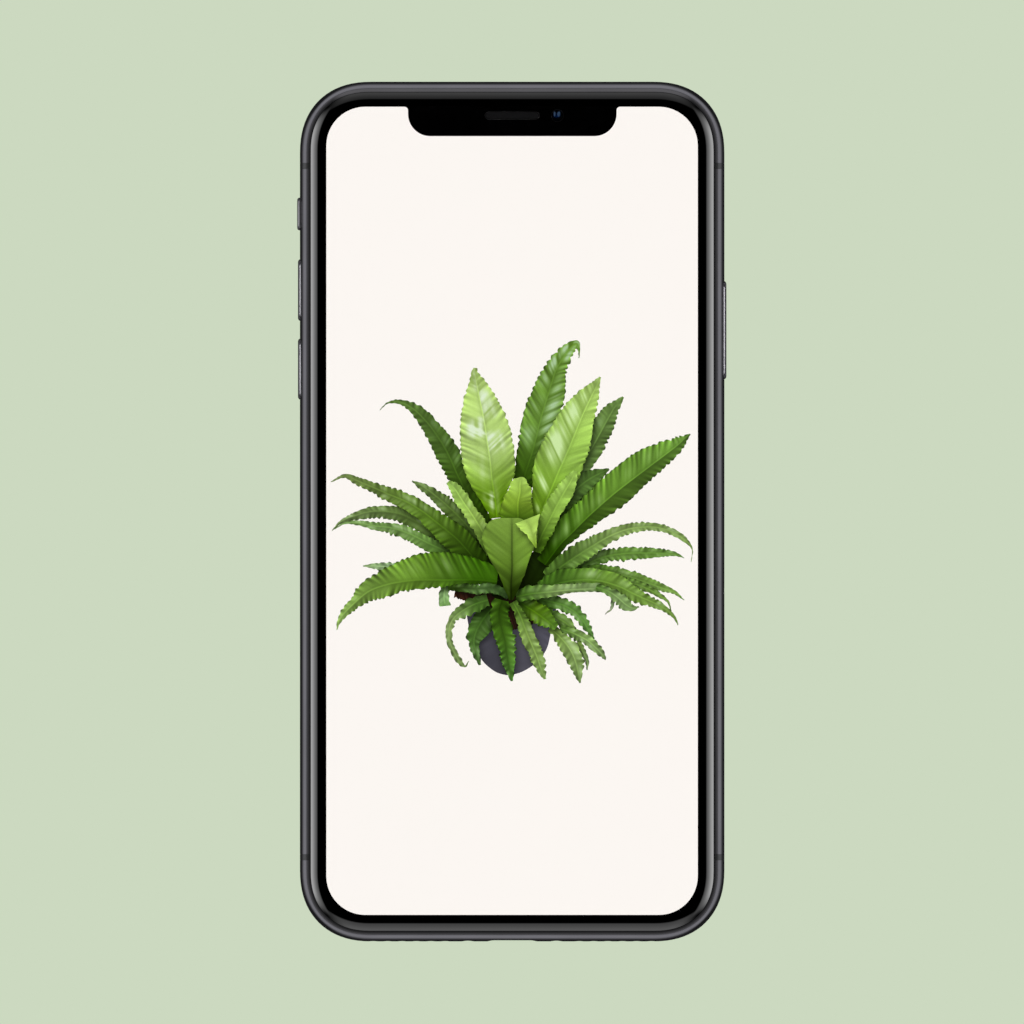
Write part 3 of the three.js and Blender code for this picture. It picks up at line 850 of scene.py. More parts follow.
# %% Openings in the band
def through_side(node, gap=0.0):
    """A bar through the band's side wall, as long and wide as what fills it, with a gap round it."""
    place = middle(node)
    side = math.copysign(1, place.x)
    length, width = SIDE_PIECES[node]
    reach = sorted((side * (HALF_WIDTH - BAND_WALL - CUT_PAST), side * (HALF_WIDTH + CUT_PAST)))
    return side_bar(length + 2 * gap, width + 2 * gap, *reach, place.y, MIDDLE_Z)


def line_box(side, y, gap=0.0):
    """The room of an antenna line, or the line's own room within a gap."""
    reach = sorted((side * (HALF_WIDTH - BAND_VIEW + gap), side * (HALF_WIDTH + CUT_PAST)))
    half = LINE_WIDTH / 2 - gap
    return box_mesh((reach[0], y - half, 0), (reach[1], y + half, FRONT_Z + CUT_PAST))


def port_bar(grow, low_y, high_y):
    """The form of the port's shell, grown by a gap or shrunk by its wall."""
    return end_bar(port_size.x + 2 * grow, port_size.z + 2 * grow, low_y, high_y, MIDDLE_Z)


def side_cutters():
    slots = [through_side(node, KEY_GAP) for node in SIDE_PIECES]
    return slots + [line_box(side, y) for side in (-1, 1) for y in LINE_HEIGHTS]


def bottom_cutters():
    inner = -HALF_LENGTH + BAND_WALL + CUT_PAST / 2
    cutters = [port_bar(PORT_GAP, PORT_LIP_Y, inner)]
    for side in (-1, 1):
        cutters.append(rod_mesh(SCREW_HEAD + KEY_GAP, side * SCREW_X, MIDDLE_Z, END_Y, inner, 32))
        for hole in range(SOUND_HOLE["count"]):
            x = side * (SOUND_HOLE["first"] + SOUND_HOLE["pitch"] * hole)
            cutters.append(rod_mesh(SOUND_HOLE["radius"], x, MIDDLE_Z, END_Y, inner))
    return cutters


band_shape = ring_mesh(band_levels(), closed=True)
band_shape = boolean(band_shape, together(*side_cutters(), *bottom_cutters()))
band_shape = boolean(band_shape, port_bar(-PORT_WALL, END_Y, PORT_LIP_Y + CUT_PAST))
print("the band has", len(band_shape.faces), "faces after its openings are cut")
finish(band_shape, "band", "body", band_steel, ["side_band"])


# %% [markdown]
# The antenna lines are short lengths of plastic moulded into the band, polished flush with it. Their
# shape is the band's own section, cut out of a second copy of the ring by a thin box.

# %% Antenna lines
LINE_GAP = 0.03


def antenna_line(node):
    place = middle(node)
    keep = line_box(math.copysign(1, place.x), place.y, LINE_GAP)
    shape = boolean(ring_mesh(band_levels(), closed=True), keep, "INTERSECT")
    return finish(shape, node + "_plastic", "body", band_plastic, [node])


for end in ("upper", "lower"):
    for side_name in ("left", "right"):
        antenna_line(f"antenna_line_{side_name}_{end}")
print("antenna lines made")


# %% [markdown]
# ## The two glasses
#
# Each glass is a plate whose rim curves down to meet the band, a so-called 2.5D edge. Levels of a
# smaller and smaller outline at a growing height make that curve. The front glass has a slot for the
# earpiece, and the back glass an opening for the camera.

# %% Front and back glass
GLASS_EDGE_STEPS = 14
EARPIECE = {"length": 9.1, "width": 1.3, "y": 66.1}
CAMERA = {"width": 12.4, "length": 26.0, "wall": 0.9}
THROUGH_FRONT = (7, 10)
THROUGH_BACK = (0, 4)
camera_place = middle("camera_ring")
glass_edge = HALF_WIDTH - glass_high.x


def glass_levels(base, top, direction):
    """Levels from the flat base to the curved rim and the flat top, upwards or downwards."""
    levels = [(glass_edge, base)]
    for step in range(GLASS_EDGE_STEPS + 1):
        left = 1 - step / GLASS_EDGE_STEPS
        inset = GLASS_CURVE_INSET - left * (GLASS_CURVE_INSET - glass_edge)
        levels.append((inset, top - direction * GLASS_EDGE_DROP * left**2))
    return levels


def earpiece_bar(grow, low, high):
    shape = raise_face(capsule(EARPIECE["length"] + grow, EARPIECE["width"] + grow), high - low)
    return turned(shape, (90, "Z"), Vector((0, EARPIECE["y"], low)))


def camera_bar(grow, low, high):
    shape = raise_face(capsule(CAMERA["length"] + grow, CAMERA["width"] + grow, 64), high - low)
    return turned(shape, Vector((camera_place.x, camera_place.y, low)))


front_shape = ring_mesh(glass_levels(FRONT_GLASS_Z, FRONT_Z, 1))
front_shape = boolean(front_shape, earpiece_bar(0, *THROUGH_FRONT))
finish(front_shape, "cover_glass", "body", front_clear, ["front_glass"])
back_shape = ring_mesh(glass_levels(BACK_GLASS_TOP_Z, BACK_Z, -1))
back_shape = boolean(back_shape, camera_bar(2 * KEY_GAP, *THROUGH_BACK))
finish(back_shape, "back_cover", "body", back_dark, ["back_glass"])
print("front and back glass made")


# %% [markdown]
# The print leaves a window for the picture, with round corners and a notch for the earpiece and the
# sensors. Such an outline starts as a plain polygon, a few vertices joined to one face. Bevelling
# single vertices then rounds every corner by its own radius.

# %% The window in the print
WINDOW_LOW = (-31.02, -67.31)
WINDOW_HIGH = (30.98, 67.56)
WINDOW_RADIUS = 6.5
NOTCH = {"left": -17.38, "right": 17.42, "depth": 4.9, "radius": 3.7, "fillet": 0.6}
CORNER_SEGMENTS = 12


def rounded_face(corners):
    """A flat face from corners of (x, y, radius)."""
    mesh = bmesh.new()
    made = [mesh.verts.new((x, y, 0)) for x, y, _ in corners]
    mesh.faces.new(made)
    for vertex, (_, _, radius) in zip(made, corners):
        rounded(mesh, [vertex], radius, CORNER_SEGMENTS, "VERTICES")
    return mesh


def window_face(grow):
    low_x, low_y = (side - grow for side in WINDOW_LOW)
    high_x, high_y = (side + grow for side in WINDOW_HIGH)
    notch_y = WINDOW_HIGH[1] - NOTCH["depth"] + grow
    left, right = NOTCH["left"] + grow, NOTCH["right"] - grow
    radius = WINDOW_RADIUS + grow
    corners = [(low_x, low_y, radius), (high_x, low_y, radius), (high_x, high_y, radius)]
    corners += [(right, high_y, NOTCH["fillet"]), (right, notch_y, NOTCH["radius"])]
    corners += [(left, notch_y, NOTCH["radius"]), (left, high_y, NOTCH["fillet"])]
    return rounded_face(corners + [(low_x, high_y, radius)])


def window_plate(grow, low, high):
    return turned(raise_face(window_face(grow), high - low), Vector((0, 0, low)))


print("the window in the print is", WINDOW_HIGH[0] - WINDOW_LOW[0], "mm wide")


# %% The print
PRINT_Z = (FRONT_GLASS_Z + 0.01, FRONT_GLASS_Z + 0.02)
PRINT_INSET = glass_edge + 0.04
THROUGH_PRINT = (7, 9)
FRONT_CAMERA = middle("front_camera")
FRONT_CAMERA_HOLE = 1.05

print_shape = ring_mesh([(PRINT_INSET, z) for z in PRINT_Z])
openings = [window_plate(0.0, *THROUGH_PRINT)]
openings.append(disc_mesh(FRONT_CAMERA_HOLE, *THROUGH_PRINT, FRONT_CAMERA.x, FRONT_CAMERA.y))
openings.append(earpiece_bar(0.1, *THROUGH_PRINT))
print_shape = boolean(print_shape, together(*openings))
print("the print has", len(openings), "openings")
finish(print_shape, "black_print", "body", black_print)


# %% [markdown]
# ## The picture's ground
#
# The display is lit, so the picture is made of things that glow. Its ground is a sheet of warm white
# just above the panel. It gives off a little more than the wanted colour, because the glass above takes
# some away.

# %% The ground of the picture
GLASS_PASSES = 0.92
GROUND = linear(252, 247, 242)
GROUND_UNDER_PRINT = 0.35
GROUND_THICKNESS = 0.02
PANEL_TOP = span("display_panel")[1].z


def glow_finish(name, passes):
    """A surface that only glows, made brighter by what the glass above it lets pass."""
    settings = {"specular_ior_level": 0.0, "base_color": (*BLACK, 1), "emission_strength": 1 / passes}
    return principled(name, roughness=0.5, **settings)


def ground_finish():
    material, tree, inputs = glow_finish("picture_ground", GLASS_PASSES)
    feed(tree, inputs, emission_color=tree.blend(tree.noise(30.0), shaded(GROUND, 0.992), GROUND))
    return material


ground_glow = ground_finish()
ground = window_plate(GROUND_UNDER_PRINT, PANEL_TOP, PANEL_TOP + GROUND_THICKNESS)
finish(ground, "picture_ground", "body", ground_glow)
print("picture ground made")


# %% [markdown]
# ## The fern on the display
#
# The picture is a bird's nest fern in a dark pot: long fronds with wavy edges that rise from one crown.
# A frond is a grid of faces whose middle line follows a smooth curve through a few stations, each a
# point of the midrib with the reach to the left and to the right. Lengths are in the display's own fine
# units from the crown. Subdividing a curve through control points is also possible, but here the rows
# carry the colours too.

# %% A smooth curve through stations
UNIT = 0.167
CROWN = (-0.03, -14.76)
ROW_STEP = 0.8
LEAST_REACH = 0.1
TINY = 1e-6


def smooth_rows(stations):
    """Rows on a smooth curve through the stations, about ROW_STEP apart."""
    table = np.array(stations, float)
    ends = np.vstack([2 * table[0] - table[1], table, 2 * table[-1] - table[-2]])
    rows = []
    for number in range(len(table) - 1):
        before, start, end, after = ends[number:number + 4]
        count = max(round(np.hypot(*(end - start)[:2]) / ROW_STEP), 2)
        share = (np.arange(count) / count)[:, None]
        bend = (3 * start - before - 3 * end + after) * share**3
        pull = (2 * before - 5 * start + 4 * end - after) * share**2
        rows.append(start + 0.5 * ((end - before) * share + pull + bend))
    rows = np.vstack(rows + [table[-1:]])
    rows[:, 2:] = np.maximum(rows[:, 2:], LEAST_REACH)
    return rows


def left_of(rows):
    """The unit direction to the left of the midrib at each row."""
    ahead = np.gradient(rows[:, :2], axis=0)
    ahead /= np.maximum(np.hypot(*ahead.T), TINY)[:, None]
    return np.stack([-ahead[:, 1], ahead[:, 0]], axis=1)


def uneven(place, random):
    """Soft irregular swings between -1 and 1, a new one at each whole step of the place."""
    place = place - place.min()
    knots = random.uniform(-1, 1, int(place.max()) + 2)
    low = place.astype(int)
    share = place - low
    share = share * share * (3 - 2 * share)
    return knots[low] * (1 - share) + knots[low + 1] * share


example = smooth_rows([(0, 0, 1, 1), (9, 9, 5, 5), (30, 9, 1, 1)])
print("a curve through 3 stations gets", len(example), "rows")


# %% [markdown]
# What makes a frond look like one is light. The edge is ruffled, so it takes turns between light and
# dark, with a thin dark line where the leaf ends. Raked cross veins run from the midrib to the edge,
# and between them the glossy leaf shows soft streaks of sky, or on a broad young frond longer smears.
# The midrib is a thin light line in a shallow groove, and the frond darkens towards the crown. Each of
# these is a sum or a product of a few waves, with seeded random swings so that no two fronds are alike.
#
# A look holds how strong each of them is. Sides are how light the left and the right half are. Sheen is
# the sky's shine on each half, its place goes from the rib at 0 to the edge at 1, and fade is the
# stretch of the frond that has it. Pitch is the length of one ruffle, rake is how far the veins lean,
# crisp is how deep the ruffles are, and shadow is how much the fronds in front darken this one.

# %% How a frond looks
PLAIN_LOOK = {
    "sides": (1.0, 1.0),
    "sheen": (0.25, 0.25),
    "sheen_colour": (196, 218, 176),
    "sheen_place": 0.5,
    "ripple": 0.3,
    "stripe": 0.17,
    "pitch": 6.2,
    "rake": 0.55,
    "rib": 0.32,
    "rim": 0.16,
    "edge": 0.22,
    "smear": 0.0,
    "crisp": 2.1,
    "fade": (0.0, 1.0),
    "shadow": 0.6,
}
YOUNG = {
    "ripple": 0.14, "stripe": 0.13, "rim": 0.12, "edge": 0.16, "rib": 0.26,
    "sheen": (0.35, 0.35), "sheen_colour": (222, 240, 200),
}
OLD = {"sheen_colour": (150, 178, 132)}
RUFFLED = {"crisp": 2.9, "ripple": 0.36, "pitch": 7.2}
SHADE = {"sheen": (0, 0), "rib": 0, "rim": 0, "stripe": 0.1, "crisp": 2.0}
print("a look has", len(PLAIN_LOOK), "values")


# %% The grid of a frond
COLUMN_STEP = 0.8
FULL_RUFFLE_REACH = 6
SMEAR_SIZE = (4.5, 45)


class Frond:
    """The grid of one frond. Its rows cross the midrib from left to right, from the base to the tip."""

    def __init__(self, stations, look, seed):
        self.look = {**PLAIN_LOOK, **look}
        self.random = np.random.default_rng(seed)
        self.rows = smooth_rows(stations)
        steps = np.hypot(*np.diff(self.rows[:, :2], axis=0).T)
        self.along = np.concatenate([[0], np.cumsum(steps)])
        self.share = self.along / self.along[-1]
        half = max(round(self.rows[:, 2:].sum(axis=1).max() / COLUMN_STEP / 2), 3)
        across = np.linspace(1, -1, 2 * half + 1)[None, :]
        self.side = np.sign(across + TINY)
        self.out = np.abs(across)
        self.reach = np.where(self.side > 0, self.rows[:, 2:3], self.rows[:, 3:4])
        self.away = self.reach * self.out
        self.vein = (self.along[:, None] - self.look["rake"] * self.away) / self.look["pitch"]
        drift = 3.0 * self.swings(1.7) + np.where(self.side > 0, 0.0, 2.0)
        self.phase = 2 * np.pi * self.vein + drift
        self.wave = np.cos(self.phase)
        self.size = 0.75 + 0.45 * self.swings(1.3)

    def sided(self, left, right):
        return np.where(self.side > 0, left, right)

    def swings(self, pitches):
        """Swings along the frond, other ones on each side. One takes as many ruffles as pitches says."""
        place = (self.along / self.look["pitch"] / pitches)[:, None] + 0 * self.out
        return self.sided(uneven(place, self.random), uneven(place, self.random))

    def streaks(self, share):
        """Swings along the raked veins."""
        place = self.vein / share
        return self.sided(uneven(place, self.random), uneven(place, self.random))

    def smears(self):
        """Swings across the frond that hardly change along it."""
        place = self.away / SMEAR_SIZE[0] + self.along[:, None] / SMEAR_SIZE[1]
        return self.sided(uneven(place, self.random), uneven(place, self.random))

    def points(self):
        lobes = np.abs(np.sin(self.phase / 2)) ** 0.8 + 0.25 * self.swings(0.25) + 0.35 * self.swings(0.8)
        depth = self.look["crisp"] * np.clip(self.reach / FULL_RUFFLE_REACH, 0.25, 1.0) * self.size
        edge = self.away + depth * (lobes - 0.6) * self.out**4
        return self.rows[:, None, :2] + left_of(self.rows)[:, None, :] * (self.side * edge)[..., None]


print("the columns of a frond lie about", COLUMN_STEP, "units apart")


# %% Light and dark on a frond
RIB_WIDTH = 0.7
RIB_FADE = ([0, 0.85, 1], [1, 0.8, 0])
GROOVE_WIDTH = 2.4
GROOVE_DEPTH = 0.12
RIM_START = 0.8
EDGE_START = 0.93
CLOUD_DEPTH = 0.09
GRAIN_DEPTH = 0.012


def hump(place, width):
    return np.exp(-((place / width) ** 2))


def frond_light(frond, wide, fine):
    """How much lighter or darker than its plain colour each point is."""
    look = frond.look
    rib = hump(frond.away, RIB_WIDTH) * np.interp(frond.share, *RIB_FADE)[:, None]
    rim = np.clip((frond.out - RIM_START) / (1 - RIM_START), 0, 1) * (0.25 + 0.75 * frond.wave)
    edge = np.clip((frond.out - EDGE_START) / (1 - EDGE_START), 0, 1) * (1 - 0.3 * frond.wave)
    light = look["ripple"] * frond.wave * frond.size * frond.out**1.6
    light = light + look["stripe"] * (wide + 0.6 * fine) * np.sqrt(frond.out)
    light = light + CLOUD_DEPTH * frond.swings(4) + look["rib"] * rib + look["rim"] * rim
    light = light - look["edge"] * edge - GROOVE_DEPTH * hump(frond.away, GROOVE_WIDTH)
    return light + frond.random.normal(0, GRAIN_DEPTH, light.shape)


print("a midrib is about", 2 * RIB_WIDTH, "units wide")


# %% Sheen and colour of a frond
SHEEN_WIDTH = 0.33
COLOUR_PLACES = [0.12, 0.45, 1]


def frond_sheen(frond, wide, fine):
    """How much of the sky's shine each point shows, 0 to 1."""
    look = frond.look
    start, end = look["fade"]
    fade = np.interp(frond.share, [start, start + 0.2, end - 0.15, end], [0, 1, 1, 0.15])[:, None]
    band = hump(frond.out - look["sheen_place"], SHEEN_WIDTH)
    patch = np.clip(0.6 + 0.75 * frond.swings(2.2), 0.05, 1)
    streaks = np.clip(0.5 + 0.8 * wide + 0.5 * fine, 0.03, 1.5)
    smears = np.clip(0.6 + 0.8 * frond.smears() + 0.25 * fine, 0.0, 1.3)
    streaks = streaks + look["smear"] * (smears - streaks)
    return np.clip(frond.sided(*look["sheen"]) * band * fade * patch * streaks, 0, 0.95)


def frond_colours(frond, shade):
    """The colour of each point as the eye counts it, 0 to 1, under the shade of what lies before it."""
    look = frond.look
    parts = np.array(look["colours"], float).T
    parts = [np.interp(frond.share, COLOUR_PLACES, part) for part in parts]
    colour = np.stack(parts, axis=-1)[:, None, :]
    wide, fine = frond.streaks(0.9), frond.streaks(0.3)
    light = frond.sided(*look["sides"]) * (1 + frond_light(frond, wide, fine))
    sheen = frond_sheen(frond, wide, fine)[..., None]
    painted = colour * light[..., None] * (1 - sheen) + np.array(look["sheen_colour"], float) * sheen
    return np.clip(painted * (1 - look["shadow"] * shade)[..., None] / 255, 0, 1)


print("a frond's three colours lie at", COLOUR_PLACES, "of its length")


# %% [markdown]
# Fronds shade each other near the crown. To know where, the fronds are laid from the front to the back,
# and a small map remembers what is already covered. Blurred, it is the soft shadow on whatever comes
# behind.

# %% Soft shadow of what lies in front
class Shadows:
    """A map of the fronds already laid, in the picture's units about the crown."""

    REACH = 230
    BLUR = 3
    SHIFT = (-1.5, 2.5)

    def __init__(self):
        self.covered = np.zeros((2 * self.REACH, 2 * self.REACH))

    def cells(self, points, shift=(0, 0)):
        cells = np.rint(points + self.REACH + np.array(shift)).astype(int)
        cells = np.clip(cells, 0, 2 * self.REACH - 1)
        return cells[..., 1], cells[..., 0]

    def shade(self, points):
        soft = self.covered
        for axis in (0, 1, 0, 1):
            moved = [np.roll(soft, step, axis) for step in range(-self.BLUR, self.BLUR + 1)]
            soft = sum(moved) / len(moved)
        return soft[self.cells(points, self.SHIFT)]

    def cover(self, points):
        self.covered[self.cells(points)] = 1


print("the shadow map is", 2 * Shadows.REACH, "units wide")


# %% [markdown]
# The table of the fronds goes from the front to the back: a name, its look, and its stations as (x, y,
# reach to the left, reach to the right). The colours are those at the base, at the middle and at the
# tip.

# %% The fronds, the soil and the pot
FRONDS = [
    ("young_flap", {
        **YOUNG, "colours": [(150, 190, 60), (176, 214, 92), (180, 218, 100)], "rib": 0,
        "sheen": (0.1, 0.1),
    }, [
        (24, 52, 0.5, 0.5), (20, 68, 7, 5), (15, 81, 13, 14),
    ]),
    ("young_funnel", {
        **YOUNG, "colours": [(33, 52, 4), (95, 128, 40), (124, 158, 64)], "ripple": 0.05, "rib": -0.35,
        "sheen": (0.12, 0.05), "pitch": 8, "rake": 0.8, "crisp": 1.0, "sides": (1.03, 1.0),
    }, [
        (-1, 0, 2, 2), (-1, 15, 8, 9), (0, 30, 16, 14), (0, 45, 24, 19), (0, 60, 30, 25),
        (0, 72, 27, 25), (0, 80, 20, 12), (0, 82, 12, 6),
    ]),
    ("front_middle_right", {
        **RUFFLED, "colours": [(85, 120, 40), (118, 145, 70), (122, 150, 80)], "sheen": (0.3, 0.2),
    }, [
        (1, -2, 4, 4), (8, -15, 5, 5), (13, -28, 7, 7), (19, -43, 7, 7), (25, -57, 7, 6),
        (29, -69, 5, 4.5), (33, -79, 1.5, 1.5),
    ]),
    ("front_middle", {
        **RUFFLED, "colours": [(45, 75, 12), (62, 98, 25), (80, 125, 50)], "sheen": (0.3, 0.25),
        "sheen_place": 0.7, "rim": 0.5, "rib": -0.1,
    }, [
        (-10, 0, 7, 7), (-13, -12, 9, 9), (-11, -26, 10, 9), (-7, -40, 10, 9), (-5, -52, 8, 7),
        (-3, -64, 6, 6), (0, -81, 1, 1),
    ]),
    ("right_curl", {
        **RUFFLED, "colours": [(85, 120, 50), (120, 148, 88), (112, 142, 80)],
    }, [
        (84, 13, 3, 3), (96, 9, 4, 4), (105, 3, 6, 6), (113, -4, 6, 6), (120, -8, 3, 3),
        (127, -7, 0.6, 0.6),
    ]),
    ("right_curl_tendril", {
        "colours": [(90, 118, 66), (112, 132, 92), (130, 132, 110)],
    }, [
        (103, 5, 2, 2), (101, -2, 2, 2), (99, -9, 1.2, 1.2), (93, -14, 0.3, 0.3),
    ]),
    ("front_right_folded", {
        "colours": [(62, 96, 28), (120, 146, 84), (122, 150, 92)], "ripple": 0.35, "crisp": 1.9,
        "pitch": 8,
    }, [
        (4, 3, 6, 5), (18, 6, 8, 6), (38, 8, 7, 5), (58, 10, 6, 3), (76, 11, 6, 3), (88, 11, 5, 3),
        (96, 8, 1, 1),
    ]),
    ("front_curls", {
        "colours": [(40, 62, 15), (75, 105, 50), (60, 90, 40)], "ripple": 0.5, "crisp": 2.4, "rib": 0,
    }, [
        (-64, 12, 2, 2), (-50, 12, 4, 4), (-36, 11, 5, 5), (-22, 12, 5, 5), (-10, 8, 4, 4), (-4, 2, 2, 2),
    ]),
    ("front_right_low", {
        **RUFFLED, "colours": [(40, 75, 8), (73, 107, 14), (85, 125, 40)],
    }, [
        (4, 2, 3, 3), (12, -5, 8, 8), (23, -12, 11, 10), (34, -20, 9, 7), (44, -28, 3, 3),
    ]),
    ("front_right_fork", {
        **RUFFLED, "colours": [(110, 140, 60), (128, 155, 85), (125, 155, 85)], "sheen": (0.35, 0.3),
    }, [
        (38, -28, 3, 3), (48, -37, 6, 6), (57, -48, 8, 8), (63, -60, 8, 8), (66, -72, 5, 5),
        (68, -83, 0.5, 0.5),
    ]),
    ("front_right_fork_tip", {
        "colours": [(110, 140, 60), (130, 160, 90), (130, 160, 95)],
    }, [
        (66, -42, 3, 3), (72, -54, 3, 2.5), (75, -62, 2, 2), (75, -70, 0.6, 0.6),
    ]),
    ("front_right_sheen", {
        **RUFFLED, "colours": [(90, 125, 50), (125, 155, 85), (130, 160, 95)], "sheen": (0.6, 0.4),
    }, [
        (48, -28, 4, 4), (63, -34, 5, 5), (76, -41, 5, 5), (86, -50, 4, 4), (92, -57, 2, 2),
        (93, -60, 0.5, 0.5),
    ]),
    ("front_right_short", {
        **RUFFLED, "colours": [(60, 95, 25), (92, 125, 50), (105, 140, 60)],
    }, [
        (33, -10, 4, 4), (44, -17, 6, 6), (55, -24, 6, 6), (64, -33, 2, 2),
    ]),
    ("front_right_thin", {
        **RUFFLED, "colours": [(50, 85, 20), (85, 125, 50), (90, 135, 60)],
    }, [
        (18, 2, 4, 4), (36, -1, 6, 6), (51, -5, 7, 6), (63, -12, 6, 5), (71, -21, 5, 5),
        (77, -31, 3.5, 3), (82, -39, 1, 1),
    ]),
    ("front_left_curled", {
        **RUFFLED, "colours": [(65, 98, 35), (125, 148, 88), (115, 140, 80)],
    }, [
        (-24, 0, 6, 6), (-37, -4, 8, 7), (-50, -11, 7, 6), (-59, -19, 4, 4), (-63, -30, 3.5, 3.5),
        (-62, -42, 3, 3), (-57, -54, 3, 3), (-52, -62, 2.5, 2.5), (-47, -66, 1, 1), (-43, -61, 0.3, 0.3),
    ]),
    ("front_left_low", {
        **RUFFLED, "colours": [(45, 75, 20), (70, 105, 40), (85, 120, 60)], "sheen": (0.4, 0.3),
    }, [
        (-20, -8, 8, 8), (-28, -18, 12, 10), (-35, -30, 12, 9), (-38, -42, 6, 6), (-35, -54, 3, 4),
        (-32, -65, 1, 1),
    ]),
    ("young_left_small", {
        **YOUNG, "colours": [(80, 112, 35), (148, 182, 82), (150, 190, 90)], "sheen": (0.1, 0.2),
    }, [
        (-18, 48, 8, 8), (-28, 66, 8, 9), (-39, 84, 7, 7), (-50, 100, 7, 7), (-57, 111, 5, 6),
        (-64, 118, 2, 2),
    ]),
    ("young_right_small", {
        **YOUNG, "colours": [(65, 98, 20), (130, 168, 66), (160, 200, 92)], "sheen": (0.1, 0.05),
    }, [
        (24, 48, 4, 5), (29, 63, 6, 8), (37, 79, 10, 8), (45, 95, 11, 8), (53, 109, 9, 9),
        (60, 121, 6, 5), (63, 129, 2, 2),
    ]),
    ("young_middle_small", {
        **YOUNG, "colours": [(65, 97, 15), (123, 157, 45), (160, 195, 90)], "sheen": (0.05, 0.05),
    }, [
        (6, 76, 14, 14), (6, 85, 18, 16), (6, 97, 16, 14), (8, 108, 12, 12), (8, 116, 9, 9),
        (9, 121, 5, 5), (9, 123, 1, 1),
    ]),
    ("young_left", {
        **YOUNG, "colours": [(95, 140, 12), (178, 210, 116), (172, 202, 108)], "sheen": (2.6, 2.4),
        "sheen_colour": (222, 238, 208), "pitch": 7, "rake": 0.7, "sheen_place": 0.3, "smear": 0.6,
        "stripe": 0.16,
    }, [
        (-15, 82, 6, 6), (-17, 100, 14, 9), (-20, 120, 23, 22), (-22, 140, 27, 25), (-25, 160, 27, 25),
        (-28, 180, 24, 22), (-32, 200, 17, 16), (-35, 215, 9, 10), (-37, 226, 4, 4), (-37, 232, 2, 2),
    ]),
    ("young_right", {
        **YOUNG, "colours": [(100, 145, 20), (150, 192, 78), (170, 203, 106)], "stripe": 0.15, "rib": 0.3,
        "sheen": (1.4, 0.15), "sheen_colour": (206, 234, 168), "pitch": 7, "rake": 0.9,
        "sides": (0.93, 1.0),
    }, [
        (18, 70, 6, 6), (29, 88, 11, 10), (38, 108, 19, 18), (46, 127, 26, 21), (54, 145, 27, 20),
        (62, 164, 25, 18), (71, 186, 20, 12), (79, 203, 13, 8), (85, 215, 6, 3), (88, 223, 0.8, 0.8),
    ]),
    ("left_large", {
        "colours": [(48, 85, 9), (95, 132, 40), (140, 172, 90)], "sides": (0.9, 1.05),
        "sheen": (0.1, 0.3),
    }, [
        (-15, 18, 4, 14), (-37, 20, 5, 22), (-67, 20, 7, 28), (-92, 20, 9, 26), (-112, 18, 10, 20),
        (-130, 14, 12, 14), (-144, 8, 10, 11), (-157, -3, 6, 6), (-167, -13, 4, 4), (-173, -22, 2, 2),
        (-175, -30, 0.3, 0.3),
    ]),
    ("left_foot", {
        "colours": [(90, 125, 60), (130, 165, 105), (110, 150, 80)],
    }, [
        (-66, 15, 4, 4), (-68, 5, 5, 5), (-67, -6, 5.5, 5.5),
    ]),
    ("right_low_large", {
        "colours": [(64, 100, 28), (100, 135, 50), (118, 150, 70)], "sheen": (0.5, 0.15),
    }, [
        (28, 10, 8, 4), (48, 17, 13, 4), (68, 20, 12, 5), (88, 19, 12, 7), (108, 13, 11, 8),
        (124, 5, 7, 7), (140, -2, 5, 5), (153, -9, 3, 3), (162, -17, 1.5, 1.5), (166, -25, 0.4, 0.4),
    ]),
    ("right_arched", {
        "colours": [(75, 108, 38), (125, 152, 82), (125, 155, 80)], "sheen": (0.3, 0.2),
    }, [
        (36, 22, 8, 8), (50, 34, 10, 9), (66, 45, 11, 9), (82, 55, 9, 8), (98, 64, 7, 6),
        (116, 71, 5.5, 5), (133, 73, 4.5, 4), (148, 72, 4, 3.5), (162, 67, 3.5, 3), (173, 60, 2.5, 2.5),
        (180, 51, 0.6, 0.6), (179, 38, 0.3, 0.3),
    ]),
    ("right_low_thin", {
        "colours": [(60, 95, 25), (100, 135, 55), (110, 145, 60)],
    }, [
        (88, 22, 5, 5), (108, 19, 5, 5), (126, 15, 4, 4), (138, 10, 3.5, 3), (148, 4, 2.5, 2),
        (156, -2, 1.2, 1.2), (159, -11, 0.3, 0.3),
    ]),
    ("right_thin", {
        "colours": [(60, 95, 25), (100, 135, 55), (115, 150, 70)],
    }, [
        (58, 20, 6, 6), (78, 28, 7, 7), (98, 28, 6, 6), (118, 23, 6, 6), (136, 17, 5.5, 5),
        (150, 12, 4, 3.5), (162, 8, 2, 2), (172, 0, 0.4, 0.4),
    ]),
    ("right_straight", {
        "colours": [(55, 90, 25), (90, 125, 50), (100, 140, 60)], "sheen": (0.4, 0.25),
    }, [
        (48, 20, 6, 6), (68, 32, 7, 7), (88, 42, 7, 6), (108, 46, 6, 7), (128, 47, 6, 6), (148, 47, 4, 4),
        (163, 46, 2, 2), (172, 42, 0.4, 0.4),
    ]),
    ("right_large", {
        "colours": [(36, 66, 4), (92, 130, 42), (100, 140, 55)], "sides": (1.1, 0.8), "rib": 0.3,
        "sheen": (0.8, 0.04), "sheen_colour": (165, 198, 128), "sheen_place": 0.4, "pitch": 7,
        "rake": 0.8,
    }, [
        (33, 35, 10, 6), (48, 55, 14, 6), (58, 65, 18, 7), (78, 85, 18, 11), (103, 107, 19, 15),
        (133, 130, 20, 11), (153, 145, 14, 9), (166, 155, 8, 6), (178, 166, 0.5, 0.5),
    ]),
    ("left_middle", {
        "colours": [(32, 56, 5), (82, 115, 32), (111, 129, 75)], "sheen": (0.3, 0.45), "fade": (0.3, 1.0),
    }, [
        (-20, 15, 8, 8), (-37, 40, 13, 12), (-54, 60, 14, 13), (-72, 75, 12, 11), (-90, 89, 9, 9),
